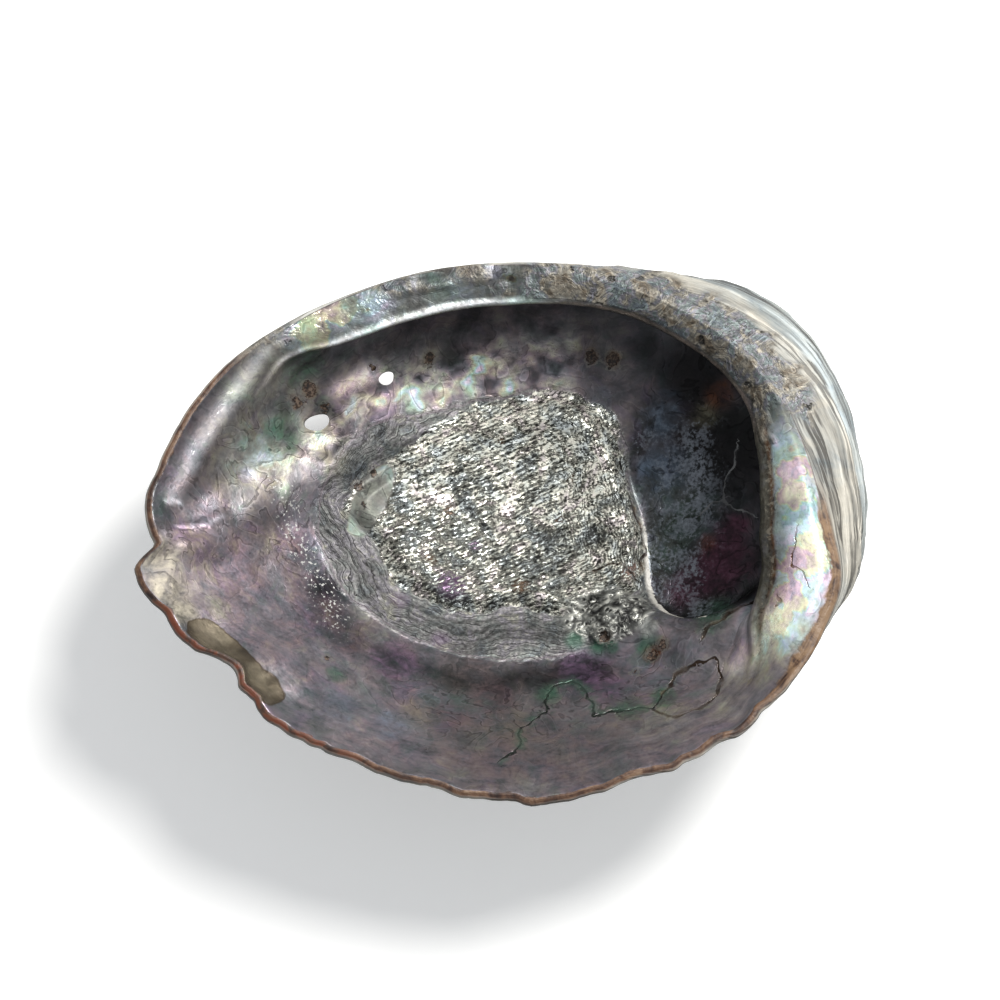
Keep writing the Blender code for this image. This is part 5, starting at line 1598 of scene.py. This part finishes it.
def cut_pores(shell):
    """Open the two youngest grown pores through the wall."""
    cutters = []
    for place, length, width, turn in OPEN_PORES:
        bpy.ops.mesh.primitive_cylinder_add(vertices=40, radius=0.5, depth=PORE_CUT)
        cutter = bpy.context.object
        for vertex in cutter.data.vertices:
            lobes = np.arctan2(vertex.co.y, vertex.co.x)
            vertex.co.xy *= 1.0 + 0.07 * np.sin(2.0 * lobes + turn) + 0.05 * np.sin(3.0 * lobes)
        spin = Matrix.Rotation(np.radians(turn), 4, "Z")
        lean = Matrix.Rotation(np.radians(PORE_LEAN), 4, "X")
        oval = Matrix.Diagonal((length, width, 1.0, 1.0))
        centre = Vector(place) + Vector(PLAN_SHIFT)
        cutter.data.transform(Matrix.Translation(centre) @ lean @ spin @ oval)
        opening = shell.modifiers.new("pore", "BOOLEAN")
        opening.operation = "DIFFERENCE"
        opening.solver = "EXACT"
        opening.object = cutter
        cutters.append(cutter)
    graph = bpy.context.evaluated_depsgraph_get()
    data = bpy.data.meshes.new_from_object(shell.evaluated_get(graph))
    shell.modifiers.clear()
    shell.data = data
    for cutter in cutters:
        bpy.data.objects.remove(cutter, do_unlink=True)
    return data


def store(data, points, skin):
    """Keep the painted values on the mesh, each vertex taking its nearest grid point's."""
    tree = kdtree.KDTree(len(points))
    for number, point in enumerate(points):
        tree.insert(point, number)
    tree.balance()
    nearest = np.array([tree.find(vertex.co)[1] for vertex in data.vertices])
    for name, values in skin.masks().items():
        field = data.attributes.new(name, "FLOAT", "POINT")
        field.data.foreach_set("value", values[nearest].astype(np.float32))
    for name, values in skin.places().items():
        field = data.attributes.new(name, "FLOAT_VECTOR", "POINT")
        field.data.foreach_set("vector", values[nearest].astype(np.float32).ravel())
    field = data.attributes.new("wash", "FLOAT_COLOR", "POINT")
    field.data.foreach_set("color", skin.wash[nearest].astype(np.float32).ravel())
    corners = np.empty(len(data.loops), int)
    data.loops.foreach_get("vertex_index", corners)
    starts = np.empty(len(data.polygons), int)
    data.polygons.foreach_get("loop_start", starts)
    inner = np.add.reduceat(skin.inner[nearest][corners], starts)
    rough = np.maximum(skin.layers, skin.blister > 0.2)
    scar = np.maximum.reduceat(rough[nearest][corners], starts)
    kind = np.where(inner > 0.5, np.where(scar > 0.0, 1, 0), 2).astype(np.int32)
    data.polygons.foreach_set("material_index", kind)


def build_shell():
    skin = Skin()
    points = skin.shape()
    skin.paint()
    data = bpy.data.meshes.new("shell_skin")
    data.from_pydata(points.tolist(), [], skin.faces)
    shell = bpy.data.objects.new("shell_skin", data)
    bpy.context.scene.collection.objects.link(shell)
    data = cut_pores(shell)
    data.materials.clear()
    for material in (nacre_material(), scar_material(), outside_material()):
        data.materials.append(material)
    store(data, points, skin)
    data.shade_smooth()
    data.set_sharp_from_angle(angle=np.radians(75.0))
    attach(shell, "root")
    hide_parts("shell")
    return shell


build_camera()
build_studio()
build_shell()
bpy.context.scene.view_settings.view_transform = "Standard"
